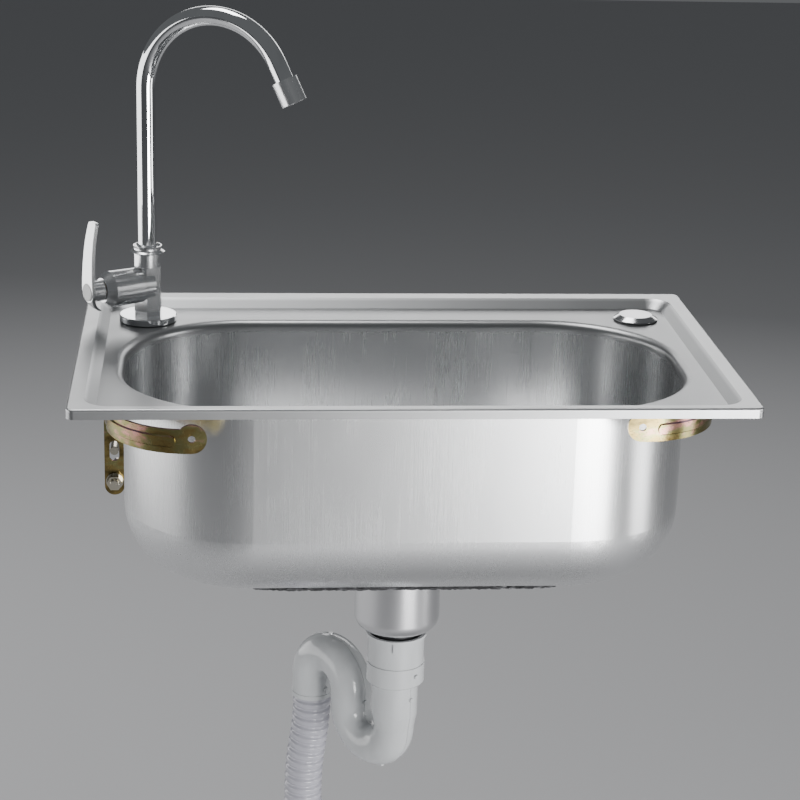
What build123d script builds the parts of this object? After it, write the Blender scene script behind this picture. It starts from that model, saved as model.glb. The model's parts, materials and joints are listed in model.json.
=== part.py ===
"""Wall-hung stainless steel sink with a swan-neck tap, strap brackets and a trap.

Millimetres. +Z is up, +X is to the right and the front faces -Y. The wall is the plane
y = 0, and the origin is the middle of the four wall anchors.
"""
from build123d import *
import math
import os

# Sink: overall sizes
SINK_WIDTH = 550.0
SINK_DEPTH = 350.0
SHEET = 0.8
RIM_CORNER = 6.0
LIP_DROP = 8.2
LIP_RADIUS = 1.6

# Rim: the flat flange, the step inside it and the deck
FLANGE_SIDE = 13.0
FLANGE_BACK = 17.0
FLANGE_FRONT = 9.0
STEP_DROP = 7.5
STEP_RUN = 9.0
DECK_CORNER = 12.0

# Bowl, and the decks from the sink's edges to its walls
SIDE_DECK = 39.8
FRONT_DECK = 26.0
BACK_DECK = 72.0
BOWL_DEPTH = 179.0
BOWL_CORNER = 106.0
BOWL_FLOOR_RADIUS = 57.0
BOWL_EDGE_RADIUS = 6.8
UNDERCOAT = 3.5
UNDERCOAT_GAP = 0.1
UNDERCOAT_SIDE_INSET = 80.2
UNDERCOAT_END_INSET = 39.2
UNDERCOAT_CORNER = 60.0
UNDERCOAT_RISE = 6.0
UNDERCOAT_SAG = 5.0
UNDERCOAT_SAG_INSET = 60.0

# Wall brackets
ARM_INSET = 29.0
ARM_THICK = 2.5
ARM_HEIGHT = 20.0
ARM_GAP = 0.3
ARM_FRONT_GAP = 2.35
ARM_CORNER = 66.0
ARM_HEAD_RADIUS = 12.0
ARM_RETURN = 68.0
ARM_HEAD_HOLE = 3.0
LEFT_ARM_DROOP = 1.5
BEAD_PROUD = 1.4
BEAD_HEIGHT = 10.0
BEAD_BEVEL = 1.1
BEAD_END_GAP = 13.0
BEAD_BACK_GAP = 60.0
PLATE_WIDTH = 18.8
PLATE_END = 14.0

# Wall anchors
ANCHOR_SPACING_Z = 30.0
ANCHOR_BELOW_RIM = 169.0
ANCHOR_STUD_RADIUS = 4.0
ANCHOR_BODY_LENGTH = 32.0
ANCHOR_NECK_RADIUS = 2.7
ANCHOR_CONE_LENGTH = 6.0
ANCHOR_TIP_LENGTH = 2.0
ANCHOR_PIN_END = 3.0
CLIP_LENGTH = 12.0
CLIP_RADIUS = 3.6
CLIP_SLIT = 1.0
ANCHOR_HOLE_RADIUS = 4.5
ANCHOR_SLOT_LENGTH = 20.0
WASHER_RADIUS = 8.2
WASHER_THICK = 1.6
NUT_FLATS = 13.0
NUT_HEIGHT = 6.5
STUD_OVERHANG = 4.0
FIT_GAP = 0.05

# Drain
DRAIN_X = 0.0
DRAIN_BACK = 4.0
DRAIN_HOLE_RADIUS = 36.5
DRAIN_RECESS_RADIUS = 50.0
DRAIN_RECESS_DEPTH = 3.0
GASKET_THICK = 1.6
GASKET_INNER = 38.5
SEAT_RIM_RADIUS = 47.0
SEAT_THROAT_RADIUS = 35.5
SEAT_DEPTH = 17.0
SEAT_SHEET = 1.0
SEAT_BOSS_RADIUS = 9.0
SEAT_SPOKE_WIDTH = 5.0
SEAT_SPOKES = 4
SEAT_WINDOW_GAP = 3.0
CUP_RADIUS = 37.5
CUP_SHEET = 0.8
CUP_RIM_RADIUS = 46.0
CUP_DEPTH = 67.0
CUP_CORNER = 12.0
BRIDGE_HEIGHT = 4.0
BRIDGE_WIDTH = 12.0
BRIDGE_LIFT = 16.0
SCREW_RADIUS = 3.0
SCREW_HEAD_RADIUS = 6.0
SCREW_HEAD_HEIGHT = 2.5
SCREW_BELOW_BRIDGE = 3.0
BASKET_RIM_RADIUS = 42.0
BASKET_RADIUS = 33.5
BASKET_SHEET = 0.8
BASKET_FLOOR_GAP = 1.0
BASKET_HOLE_RADIUS = 2.2
BASKET_SIDE_HOLES = 18
BASKET_RING_RADII = (14.0, 22.0, 29.0)
BASKET_RING_HOLES = (8, 14, 18)
BASKET_SEAL_THICK = 1.2
KNOB_RADIUS = 9.0
KNOB_HEIGHT = 10.0
KNOB_STEM_RADIUS = 3.2
KNOB_PROUD = 14.0
NECK_RADIUS = 20.6
NECK_BORE = 18.0
NECK_LENGTH = 25.0
NECK_FLANGE_RADIUS = 24.0
NECK_FLANGE_THICK = 1.2

# Coupling nut and trap
NUT_RIM_RADIUS = 27.0
NUT_RIM_HEIGHT = 2.5
NUT_RADIUS = 25.0
COUPLING_HEIGHT = 28.0
NUT_LIP = 3.0
NUT_MOUTH = 3.5
COLLAR_RADIUS = 23.0
COLLAR_THICK = 2.5
COLLAR_NECK_RADIUS = 21.0
COUPLING_WASHER_THICK = 2.5
SOCKET_RADIUS = 25.8
SOCKET_HEIGHT = 20.0
SOCKET_CHAMFER = 2.5
INLET_RADIUS = 20.4
INLET_BORE = 17.8
INLET_LENGTH = 44.2
INLET_TAPER = 14.0
TRAP_BEND_RADIUS = 18.0
TRAP_TUBE_RADIUS = 18.7
TRAP_BORE = 15.6
TRAP_TURN = 50.8
LEG_SPACING_LOW = 57.0
LEG_SPACING_HIGH = 53.0
RISE_LENGTH = 14.5
OUTLET_LENGTH = 21.8
OUTLET_LIP = 0.5
OUTLET_LIP_HEIGHT = 4.0

# Drain hose
HOSE_RADIUS = 17.7
HOSE_ROOT = 15.8
HOSE_BORE = 14.3
HOSE_RIB_PITCH = 8.8
HOSE_RIB_CREST = 0.44
HOSE_RIB_ROOT = 0.16
HOSE_CUFF = 3.0
ADAPTER_DEPTH = 14.0
ADAPTER_WALL = 1.6
SPIGOT_RADIUS = 16.5
SPIGOT_LENGTH = 30.0
SPIGOT_FLANGE_RADIUS = 19.5
SPIGOT_FLANGE_THICK = 4.0
SEAL_RADIUS = 24.0
SEAL_LENGTH = 16.0
SEAL_FLANGE_RADIUS = 30.0
SEAL_FLANGE_THICK = 4.0

# Route of the hose's middle line, from the trap's outlet: steps right, back and down
HOSE_STEPS = (
    (0.0, 0.0, -26.0),
    (-8.0, 0.5, -50.0),
    (1.5, 3.0, -76.0),
    (3.0, 4.0, -92.0),
    (3.0, 2.5, -92.0),
    (0.5, 0.0, -86.0),
    (0.0, 0.0, -76.0),
)
ROUTE_SHARE = 0.45

# Tap
TAP_FROM_SIDE = 56.0
TAP_FROM_BACK = 67.0
TAP_HOLE_RADIUS = 11.5
FLANGE_SEAL_THICK = 0.8
FLANGE_RADIUS = 25.4
TAP_FLANGE_THICK = 5.5
FLANGE_BEVEL = 0.6
HEX_FLATS = 23.2
HEX_TURN = 28.0
HEX_HEIGHT = 50.6
FOOT_HEIGHT = 4.0
FOOT_GROOVE = 1.0
COLUMN_RADIUS = 12.0
COLUMN_HEIGHT = 61.2
BODY_NECK_RADIUS = 11.4
BODY_NECK_HEIGHT = 5.0
SHANK_RADIUS = 10.48
SHANK_LENGTH = 52.0
SHANK_GROOVE_DEPTH = 1.0
SHANK_GROOVE_WIDTH = 3.0
INLET_THREAD = 19.0
SHANK_BORE = 5.5
LOCK_WASHER_RADIUS = 18.0
LOCK_WASHER_THICK = 2.0
LOCK_NUT_FLATS = 27.0
LOCK_NUT_HEIGHT = 8.0

# Spout
TUBE_RADIUS = 8.25
TUBE_BORE = 7.2
SPOUT_TURN = -28.0
SPOUT_ARC = 67.4
SPOUT_RISE = 209.0
SPOUT_SWEEP = 152.5
SPOUT_END = 21.7
SOCKET_BORE = 10.2
SOCKET_DEPTH = 14.5
SLEEVE_RADIUS = 10.15
SLEEVE_HEIGHT = 11.0
SLEEVE_GAP = 0.5
O_RING = 1.5
O_RING_PITCH = 5.0
SPOUT_NUT_RADIUS = 12.2
SPOUT_NUT_RIDGE = 15.3
SPOUT_NUT_RIDGE_HEIGHT = 3.6
SPOUT_NUT_HEIGHT = 8.0
SPOUT_NUT_ROOF = 1.2
SPOUT_NUT_LIP = 1.0
NOZZLE_RADIUS = 11.3
NOZZLE_LENGTH = 21.0
NOZZLE_WALL = 1.4
END_RING_WALL = 1.6
END_RING_LENGTH = 6.0
AERATOR_HEIGHT = 12.0
AERATOR_RECESS = 1.6
AERATOR_JETS = 8
AERATOR_WASHER_THICK = 1.5
SCREEN_THICK = 1.0
SCREEN_HOLES = 12

# Valve: lengths along its axis from the tap's centre line
VALVE_HEIGHT = 34.0
VALVE_TURN = 32.0
BOSS_RADIUS = 15.0
BOSS_END = 9.5
CHAMBER_RADIUS = 9.6
CHAMBER_START = 2.0
WATERWAY = 3.5
RISER_RADIUS = 2.5
RISER_WALL = 1.0
BONNET_ROOM = 0.3
SEAT_THICK = 1.5
DISC_RADIUS = 7.4
DISC_THICK = 2.5
DISC_GAP = 0.1
DRIVER_THICK = 2.5
CARTRIDGE_WALL = 1.6
CARTRIDGE_HEX_FLATS = 22.0
CARTRIDGE_HEX_END = 15.5
CARTRIDGE_STEM_RADIUS = 7.0
CARTRIDGE_END = 45.5
CARTRIDGE_WINDOW = 3.0
SPINDLE_RADIUS = 4.0
SPINDLE_END = 55.5
BONNET_RADIUS = 16.2
BONNET_TAPER = 0.3
BONNET_FRONT_RADIUS = 10.8
BONNET_WALL = 1.8
BONNET_BEVEL = 1.0
BONNET_BARREL_END = 39.5
BONNET_END = 46.5
HUB_RADIUS = 9.1
HUB_START = 47.0
HUB_END = 60.4
BUTTON_RADIUS = 8.0
BUTTON_THICK = 1.8
BUTTON_PROUD = 0.5
HANDLE_SCREW_RADIUS = 2.0
HANDLE_SCREW_HEAD = 3.6
HANDLE_SCREW_HEAD_HEIGHT = 2.4
HANDLE_SCREW_DEPTH = 8.0
LEVER_WIDTH = 12.0
LEVER_THICK = 3.3
LEVER_RISE = 62.0
LEVER_TAIL = 18.0
LEVER_TIP_WIDTH = 3.0
LEVER_CORNER = 2.2
LEVER_FACE = 61.2
LEVER_TOP_BEND = 6.2
LEVER_TAIL_BEND = 10.5

# Cover over the spare tap hole
COVER_FROM_SIDE = 51.0
COVER_FROM_BACK = 63.0
COVER_HOLE_RADIUS = 14.0
COVER_RADIUS = 20.2
COVER_HEIGHT = 5.2
COVER_SKIRT = 1.2
COVER_CROWN = 14.8
COVER_WALL = 1.0
COVER_SEAL_THICK = 0.8
COVER_STUD_RADIUS = 4.0
COVER_STUD_LENGTH = 30.0
COVER_CLAMP_RADIUS = 17.5
COVER_CLAMP_THICK = 3.0
WING_RADIUS = 6.5
WING_HEIGHT = 6.0
WING_SPAN = 26.0
WING_THICK = 2.0

# Places that follow from the sizes above
RIM_Z = ANCHOR_BELOW_RIM
DECK_Z = RIM_Z - STEP_DROP
DECK_UNDER_Z = DECK_Z - SHEET
SINK_Y = -SINK_DEPTH / 2
FLANGE_WIDTH = SINK_WIDTH - 2 * FLANGE_SIDE
FLANGE_LENGTH = SINK_DEPTH - FLANGE_BACK - FLANGE_FRONT
FLANGE_Y = -FLANGE_BACK - FLANGE_LENGTH / 2
BOWL_WIDTH = SINK_WIDTH - 2 * SIDE_DECK
BOWL_LENGTH = SINK_DEPTH - FRONT_DECK - BACK_DECK
BOWL_Y = -BACK_DECK - BOWL_LENGTH / 2
DRAIN_Y = BOWL_Y + DRAIN_BACK
FLOOR_Z = RIM_Z - BOWL_DEPTH
RECESS_Z = FLOOR_Z - DRAIN_RECESS_DEPTH
RECESS_UNDER_Z = RECESS_Z - SHEET
TAP_X = TAP_FROM_SIDE - SINK_WIDTH / 2
TAP_Y = -TAP_FROM_BACK
COVER_X = SINK_WIDTH / 2 - COVER_FROM_SIDE
COVER_Y = -COVER_FROM_BACK
ARM_X = SINK_WIDTH / 2 - ARM_INSET
ARM_HEAD_X = ARM_X - ARM_RETURN
ARM_TOP_Z = DECK_UNDER_Z - ARM_GAP
ARM_FRONT_Y = -SINK_DEPTH + SHEET + ARM_FRONT_GAP + ARM_THICK / 2
PLATE_X = ARM_X - ARM_THICK / 2 + PLATE_WIDTH / 2
ANCHOR_HIGH_Z = ANCHOR_SPACING_Z / 2
ANCHOR_LOW_Z = -ANCHOR_SPACING_Z / 2
NUT_PLACES = [(-PLATE_X, ANCHOR_LOW_Z), (PLATE_X, ANCHOR_LOW_Z)]
PIN_PLACES = [(-PLATE_X, ANCHOR_HIGH_Z), (PLATE_X, ANCHOR_HIGH_Z)]
SEAT_Z = RECESS_Z + GASKET_THICK
CUP_TOP_Z = RECESS_UNDER_Z - GASKET_THICK
CUP_BOTTOM_Z = CUP_TOP_Z - CUP_DEPTH
BRIDGE_Z = CUP_BOTTOM_Z + BRIDGE_LIFT
SEAT_FLOOR_Z = SEAT_Z - SEAT_DEPTH
BASKET_RIM_Z = SEAT_Z + SEAT_SHEET + BASKET_SEAL_THICK
BASKET_FLOOR_Z = SEAT_FLOOR_Z + SEAT_SHEET + SCREW_HEAD_HEIGHT + BASKET_FLOOR_GAP
NECK_END_Z = CUP_BOTTOM_Z - NECK_LENGTH
COLLAR_Z = NECK_END_Z - COUPLING_WASHER_THICK
COUPLING_LOW_Z = COLLAR_Z - COLLAR_THICK - NUT_LIP
COUPLING_TOP_Z = COUPLING_LOW_Z + COUPLING_HEIGHT
SOCKET_Z = COUPLING_LOW_Z - FIT_GAP
INLET_Z = SOCKET_Z - SOCKET_HEIGHT
BEND_LOW_Z = INLET_Z - INLET_LENGTH
BEND_HIGH_Z = BEND_LOW_Z + RISE_LENGTH
OUTLET_Z = BEND_HIGH_Z - OUTLET_LENGTH
OUTLET_REACH = LEG_SPACING_LOW + LEG_SPACING_HIGH
OUTLET_X = DRAIN_X - OUTLET_REACH * math.cos(math.radians(TRAP_TURN))
OUTLET_Y = DRAIN_Y + OUTLET_REACH * math.sin(math.radians(TRAP_TURN))
FLANGE_TOP_Z = DECK_Z + FLANGE_SEAL_THICK + TAP_FLANGE_THICK
VALVE_Z = DECK_Z + VALVE_HEIGHT
COLUMN_Z = DECK_Z + COLUMN_HEIGHT
BODY_TOP_Z = COLUMN_Z + BODY_NECK_HEIGHT
SHANK_END_Z = DECK_Z - SHANK_LENGTH
SOCKET_FLOOR_Z = BODY_TOP_Z - SOCKET_DEPTH
SLEEVE_Z = SOCKET_FLOOR_Z + SLEEVE_GAP
BUSH_Z = SLEEVE_Z + SLEEVE_HEIGHT + FIT_GAP
SPOUT_NUT_Z = COLUMN_Z + FIT_GAP
ARC_Z = DECK_Z + SPOUT_RISE
VALVE_DIRECTION = Vector(-math.cos(math.radians(VALVE_TURN)), -math.sin(math.radians(VALVE_TURN)), 0)
VALVE_FRAME = Plane(origin=(TAP_X, TAP_Y, VALVE_Z), x_dir=(0, 0, 1), z_dir=VALVE_DIRECTION).location


def ring(outer, inner, low, high):
    """Upright ring on the Z axis between two heights."""
    middle = Pos(0, 0, (low + high) / 2)
    return middle * (Cylinder(outer, high - low) - Cylinder(inner, high - low))


def rod(radius, low, high):
    """Upright cylinder on the Z axis between two heights."""
    return Pos(0, 0, (low + high) / 2) * Cylinder(radius, high - low)


def turned(outline):
    """Solid turned about the Z axis from a closed outline of (radius, height) points."""
    face = make_face(Polyline(*[(radius, 0, height) for radius, height in outline], close=True))
    return revolve(face, Axis.Z)


def hexagon(flats, low, high, turn=0.0):
    """Upright hexagonal prism on the Z axis between two heights."""
    outline = Pos(0, 0, low) * Rot(0, 0, turn) * RegularPolygon(flats / 2, 6, major_radius=False)
    return extrude(outline, amount=high - low)


def around(count, radius, shape):
    """Copies of a shape, spaced evenly round the Z axis at a radius."""
    copies = []
    for number in range(count):
        copies.append(Rot(0, 0, 360 * number / count) * Pos(radius, 0, 0) * shape)
    return Part() + copies


def at_drain(shape):
    """Moves a shape from the Z axis to the drain's axis."""
    return Pos(DRAIN_X, DRAIN_Y, 0) * shape


def at_tap(shape):
    """Moves a shape from the Z axis to the tap's axis."""
    return Pos(TAP_X, TAP_Y, 0) * shape


def at_spout(shape):
    """Moves a shape from the XZ plane to the tap's axis, turned to the spout's side."""
    return at_tap(Rot(0, 0, SPOUT_TURN) * shape)


def on_valve(shape):
    """Moves a shape from the Z axis to the valve's axis, with +X upwards."""
    return VALVE_FRAME * shape


# Sink


def recess_block(drop):
    """The space inside the rim's sloping step, lowered by the sheet."""
    mouth = RectangleRounded(FLANGE_WIDTH, FLANGE_LENGTH, DECK_CORNER + STEP_RUN)
    deck = RectangleRounded(FLANGE_WIDTH - 2 * STEP_RUN, FLANGE_LENGTH - 2 * STEP_RUN, DECK_CORNER)
    sections = [
        (Pos(0, FLANGE_Y, RIM_Z - drop) * mouth).face(),
        (Pos(0, FLANGE_Y, DECK_Z - drop) * deck).face(),
    ]
    return loft(sections, ruled=True)


def bowl_block(grow, top):
    """The bowl's hollow, grown outwards, from its floor up to a height."""
    floor = FLOOR_Z - grow
    outline = RectangleRounded(BOWL_WIDTH + 2 * grow, BOWL_LENGTH + 2 * grow, BOWL_CORNER + grow)
    block = extrude(Pos(0, BOWL_Y, floor) * outline, amount=top - floor)
    return fillet(block.edges().group_by(Axis.Z)[0], BOWL_FLOOR_RADIUS + grow)


def pressed_block(grow):
    """The space below the rim: recess and bowl with a rounded mouth, grown outwards and down."""
    level = DECK_Z - grow
    block = recess_block(grow) + bowl_block(grow, level)
    mouth = []
    for edge in block.edges():
        box = edge.bounding_box()
        flat = max(abs(box.min.Z - level), abs(box.max.Z - level)) < 0.01
        inside = max(box.max.X, -box.min.X) < BOWL_WIDTH / 2 + grow + 0.1
        front = -BACK_DECK - BOWL_LENGTH - grow - 0.1
        if flat and inside and box.min.Y > front and box.max.Y < -BACK_DECK + grow + 0.1:
            mouth.append(edge)
    return fillet(mouth, BOWL_EDGE_RADIUS - grow)


def lip_block(inset, drop):
    """The block inside the rim's outer skin, with a rounded upper edge."""
    outline = RectangleRounded(SINK_WIDTH - 2 * inset, SINK_DEPTH - 2 * inset, RIM_CORNER - inset)
    block = extrude(Pos(0, SINK_Y, RIM_Z - LIP_DROP) * outline, amount=LIP_DROP - drop)
    return fillet(block.edges().group_by(Axis.Z)[-1], LIP_RADIUS - inset)


def make_sink():
    """Rim with its turned-down lip, step, deck and bowl, pressed from one sheet."""
    body = lip_block(0, 0) - lip_block(SHEET, SHEET)
    body = body + pressed_block(SHEET) - pressed_block(0)
    recess = rod(DRAIN_RECESS_RADIUS + SHEET, RECESS_UNDER_Z, FLOOR_Z - SHEET / 2)
    hollow = rod(DRAIN_RECESS_RADIUS, RECESS_Z, FLOOR_Z) + rod(DRAIN_HOLE_RADIUS, RECESS_UNDER_Z, FLOOR_Z)
    body = body + at_drain(recess) - at_drain(hollow)
    body -= at_tap(rod(TAP_HOLE_RADIUS, DECK_UNDER_Z, DECK_Z))
    body -= Pos(COVER_X, COVER_Y, 0) * rod(COVER_HOLE_RADIUS, DECK_UNDER_Z, DECK_Z)
    return body


def make_undercoat():
    """Coat on the underside of the bowl's floor, thicker towards the drain cup."""
    width = BOWL_WIDTH - 2 * UNDERCOAT_SIDE_INSET
    length = BOWL_LENGTH - 2 * UNDERCOAT_END_INSET
    outline = RectangleRounded(width, length, UNDERCOAT_CORNER)
    start = SHEET + UNDERCOAT_GAP
    level = FLOOR_Z - start - UNDERCOAT
    low = level - UNDERCOAT_SAG
    coat = bowl_block(start + UNDERCOAT, DECK_Z) - bowl_block(start, DECK_Z)
    coat &= extrude(Pos(0, BOWL_Y, low) * outline, amount=FLOOR_Z + UNDERCOAT_RISE - low)
    flat_length = BOWL_LENGTH - 2 * BOWL_FLOOR_RADIUS
    inset = UNDERCOAT_SAG_INSET
    flat = RectangleRounded(width, flat_length, UNDERCOAT_CORNER / 2)
    middle = RectangleRounded(width - 2 * inset, flat_length - inset / 2, UNDERCOAT_CORNER / 2)
    coat += loft([(Pos(0, BOWL_Y, level) * flat).face(), (Pos(0, BOWL_Y, low) * middle).face()], ruled=True)
    return coat - at_drain(rod(DRAIN_RECESS_RADIUS + 2 * SHEET, low, FLOOR_Z))


# Cover over the spare tap hole


def at_cover(shape):
    """Moves a shape from the Z axis to the spare hole's axis."""
    return Pos(COVER_X, COVER_Y, 0) * shape


def make_cover_cap():
    """Pressed cap with a short skirt, a sloping edge and a flat top."""
    foot = DECK_Z + COVER_SEAL_THICK
    top = DECK_Z + COVER_HEIGHT
    outer = [(0, foot), (COVER_RADIUS, foot), (COVER_RADIUS, foot + COVER_SKIRT), (COVER_CROWN, top), (0, top)]
    inner_radius = COVER_RADIUS - COVER_WALL
    inner = [
        (0, foot),
        (inner_radius, foot),
        (inner_radius, foot + COVER_SKIRT - COVER_WALL / 2),
        (COVER_CROWN - COVER_WALL / 2, top - COVER_WALL),
        (0, top - COVER_WALL),
    ]
    return at_cover(turned(outer) - turned(inner))


def make_cover_seal():
    """Flat rubber ring between the cap's skirt and the deck."""
    return at_cover(ring(COVER_RADIUS, COVER_HOLE_RADIUS + 2, DECK_Z, DECK_Z + COVER_SEAL_THICK))


def make_cover_stud():
    """Threaded stud that hangs from the cap's crown."""
    top = DECK_Z + COVER_HEIGHT - COVER_WALL
    head = rod(COVER_STUD_RADIUS * 2, top - 1.5, top)
    return at_cover(head + rod(COVER_STUD_RADIUS, top - COVER_STUD_LENGTH, top))


def make_cover_clamp():
    """Clamping disc under the deck, with a raised ring that centres it in the hole."""
    low = DECK_UNDER_Z - COVER_CLAMP_THICK
    disc = rod(COVER_CLAMP_RADIUS, low, DECK_UNDER_Z)
    centring = rod(COVER_HOLE_RADIUS - 0.5, DECK_UNDER_Z, DECK_Z)
    return at_cover(disc + centring - rod(COVER_STUD_RADIUS + FIT_GAP, low, DECK_Z))


def make_cover_nut():
    """Wing nut on the cover's stud."""
    top = DECK_UNDER_Z - COVER_CLAMP_THICK
    low = top - WING_HEIGHT
    wings = Pos(0, 0, low + WING_HEIGHT / 2) * Box(WING_SPAN, WING_THICK, WING_HEIGHT)
    wings = fillet(wings.edges().filter_by(Axis.Y), WING_HEIGHT * 0.4)
    return at_cover(rod(WING_RADIUS, low, top) + wings - rod(COVER_STUD_RADIUS + FIT_GAP, low, top))


# Wall brackets and anchors


def band(path, width, low, high):
    """Upright strip of a width along a plan path, between two heights."""
    return extrude(Pos(0, 0, low) * trace(path, line_width=width), amount=high - low)


def bracket_arm():
    """Strap that runs forward beside the bowl and round its front corner to a rounded head."""
    low = ARM_TOP_Z - ARM_HEIGHT
    corner = [(ARM_X, -ARM_THICK / 2), (ARM_X, ARM_FRONT_Y), (ARM_HEAD_X - ARM_HEAD_RADIUS, ARM_FRONT_Y)]
    strip = band(FilletPolyline(*corner, radius=ARM_CORNER), ARM_THICK, low, low + 2 * ARM_HEAD_RADIUS)
    across = Rot(90, 0, 0)
    depth = SINK_DEPTH
    beyond_head = Pos(ARM_HEAD_X + depth, -depth / 2, low + ARM_HEIGHT / 2) * Box(2 * depth, 2 * depth, ARM_HEIGHT)
    head = Pos(ARM_HEAD_X, ARM_FRONT_Y, low + ARM_HEAD_RADIUS) * across
    arm = strip & (beyond_head + head * Cylinder(ARM_HEAD_RADIUS, depth))
    return arm + arm_bead(low + ARM_HEIGHT / 2) - head * Cylinder(ARM_HEAD_HOLE, depth)


def arm_bead(middle):
    """Pressed stiffening bead along the outside of the strap, with sloping sides."""
    start = -BEAD_BACK_GAP
    half = BEAD_HEIGHT / 2
    skin = ARM_X + ARM_THICK / 2
    crest = skin + BEAD_PROUD
    section = make_face(
        Polyline(
            (ARM_X, start, middle - half),
            (skin, start, middle - half),
            (crest, start, middle - half + BEAD_BEVEL),
            (crest, start, middle + half - BEAD_BEVEL),
            (skin, start, middle + half),
            (ARM_X, start, middle + half),
            close=True,
        )
    )
    front = ARM_FRONT_Y - ARM_THICK / 2
    corner = [(skin, start, middle), (skin, front, middle), (ARM_HEAD_X - ARM_HEAD_RADIUS, front, middle)]
    bead = sweep(section, path=FilletPolyline(*corner, radius=ARM_CORNER + ARM_THICK / 2))
    tip = Pos(ARM_HEAD_X + BEAD_END_GAP + half, front, middle)
    rest = Pos(SINK_DEPTH, 0, 0) * Box(2 * SINK_DEPTH, 4 * SINK_DEPTH, BEAD_HEIGHT)
    return bead & (tip * (Rot(90, 0, 0) * Cylinder(half, SINK_DEPTH) + rest))


def bracket(droop):
    """Right-hand bracket: wall plate and arm, with the arm hanging by an angle."""
    root = Axis((0, 0, ARM_TOP_Z), (1, 0, 0))
    arm = bracket_arm().rotate(root, droop)
    low = ANCHOR_LOW_Z - PLATE_END
    radius = PLATE_WIDTH / 2
    outline = Pos(PLATE_X, (ARM_TOP_Z + low + radius) / 2) * Rectangle(PLATE_WIDTH, ARM_TOP_Z - low - radius)
    outline += Pos(PLATE_X, low + radius) * Circle(radius)
    outline -= Pos(PLATE_X, ANCHOR_LOW_Z) * Circle(ANCHOR_HOLE_RADIUS)
    outline -= Pos(PLATE_X, ANCHOR_HIGH_Z) * Rot(0, 0, 90) * SlotOverall(ANCHOR_SLOT_LENGTH, 2 * ANCHOR_HOLE_RADIUS)
    return arm + extrude(Plane.XZ * outline, amount=ARM_THICK)


def on_anchors(places, shape):
    """Copies of a shape made along +Z, laid along +Y at some of the anchors."""
    copies = [Pos(x, 0, z) * Rot(-90, 0, 0) * shape for x, z in places]
    return Part() + copies


def anchor_stud(outside):
    """Stud that stands out of the wall by a length, with a neck and a cone inside the wall."""
    cone_start = ANCHOR_BODY_LENGTH + CLIP_LENGTH + FIT_GAP
    cone_end = cone_start + ANCHOR_CONE_LENGTH
    cone = Pos(0, 0, cone_start + ANCHOR_CONE_LENGTH / 2) * Cone(
        ANCHOR_NECK_RADIUS, ANCHOR_STUD_RADIUS, ANCHOR_CONE_LENGTH
    )
    stud = rod(ANCHOR_STUD_RADIUS, -outside, ANCHOR_BODY_LENGTH)
    stud += rod(ANCHOR_NECK_RADIUS, ANCHOR_BODY_LENGTH, cone_start) + cone
    return stud + rod(ANCHOR_STUD_RADIUS, cone_end, cone_end + ANCHOR_TIP_LENGTH)


def make_wall_studs():
    """Four anchor studs: the lower two reach through a nut, the upper two end in the slots."""
    through_nut = ARM_THICK + WASHER_THICK + NUT_HEIGHT + STUD_OVERHANG
    return on_anchors(NUT_PLACES, anchor_stud(through_nut)) + on_anchors(PIN_PLACES, anchor_stud(ANCHOR_PIN_END))


def make_wall_clips():
    """Four slit clips round the studs' necks, which the cones spread in the wall."""
    start = ANCHOR_BODY_LENGTH + FIT_GAP
    end = ANCHOR_BODY_LENGTH + CLIP_LENGTH
    clip = ring(CLIP_RADIUS, ANCHOR_NECK_RADIUS + FIT_GAP, start, end)
    slit = Pos(CLIP_RADIUS, 0, (start + end) / 2) * Box(2 * CLIP_RADIUS, CLIP_SLIT, end - start)
    return on_anchors(NUT_PLACES + PIN_PLACES, clip - slit)


def make_wall_washers():
    """Two washers on the wall plates."""
    front = -ARM_THICK - WASHER_THICK
    return on_anchors(NUT_PLACES, ring(WASHER_RADIUS, ANCHOR_STUD_RADIUS + 6 * FIT_GAP, front, -ARM_THICK))


def make_wall_nuts():
    """Two hexagon nuts on the lower studs."""
    back = -ARM_THICK - WASHER_THICK
    front = back - NUT_HEIGHT
    nut = hexagon(NUT_FLATS, front, back) & rod(NUT_FLATS * 0.56, front, back)
    return on_anchors(NUT_PLACES, nut - rod(ANCHOR_STUD_RADIUS + FIT_GAP, front, back))


# Drain


def make_drain_flange():
    """Pressed seat: rim, throat and a spoked floor with a boss for the centre screw."""
    throat_bore = SEAT_THROAT_RADIUS - SEAT_SHEET
    top = SEAT_Z + SEAT_SHEET
    seat = ring(SEAT_RIM_RADIUS, throat_bore, SEAT_Z, top)
    seat += ring(SEAT_THROAT_RADIUS, throat_bore, SEAT_FLOOR_Z, top)
    floor_top = SEAT_FLOOR_Z + SEAT_SHEET
    seat += ring(throat_bore + SEAT_SHEET / 2, throat_bore - SEAT_WINDOW_GAP, SEAT_FLOOR_Z, floor_top)
    seat += rod(SEAT_BOSS_RADIUS, SEAT_FLOOR_Z, floor_top)
    spoke = Pos(throat_bore / 2, 0, (SEAT_FLOOR_Z + floor_top) / 2) * Box(throat_bore, SEAT_SPOKE_WIDTH, SEAT_SHEET)
    seat += around(SEAT_SPOKES, 0, spoke)
    return at_drain(seat - rod(SCREW_RADIUS + FIT_GAP, SEAT_FLOOR_Z, floor_top))


def make_gasket_upper():
    """Rubber gasket between the seat's rim and the recess in the bowl."""
    return at_drain(ring(SEAT_RIM_RADIUS, GASKET_INNER, RECESS_Z, SEAT_Z))


def make_gasket_lower():
    """Rubber gasket between the bowl's underside and the cup's rim."""
    return at_drain(ring(CUP_RIM_RADIUS, GASKET_INNER, CUP_TOP_Z, RECESS_UNDER_Z))


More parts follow.
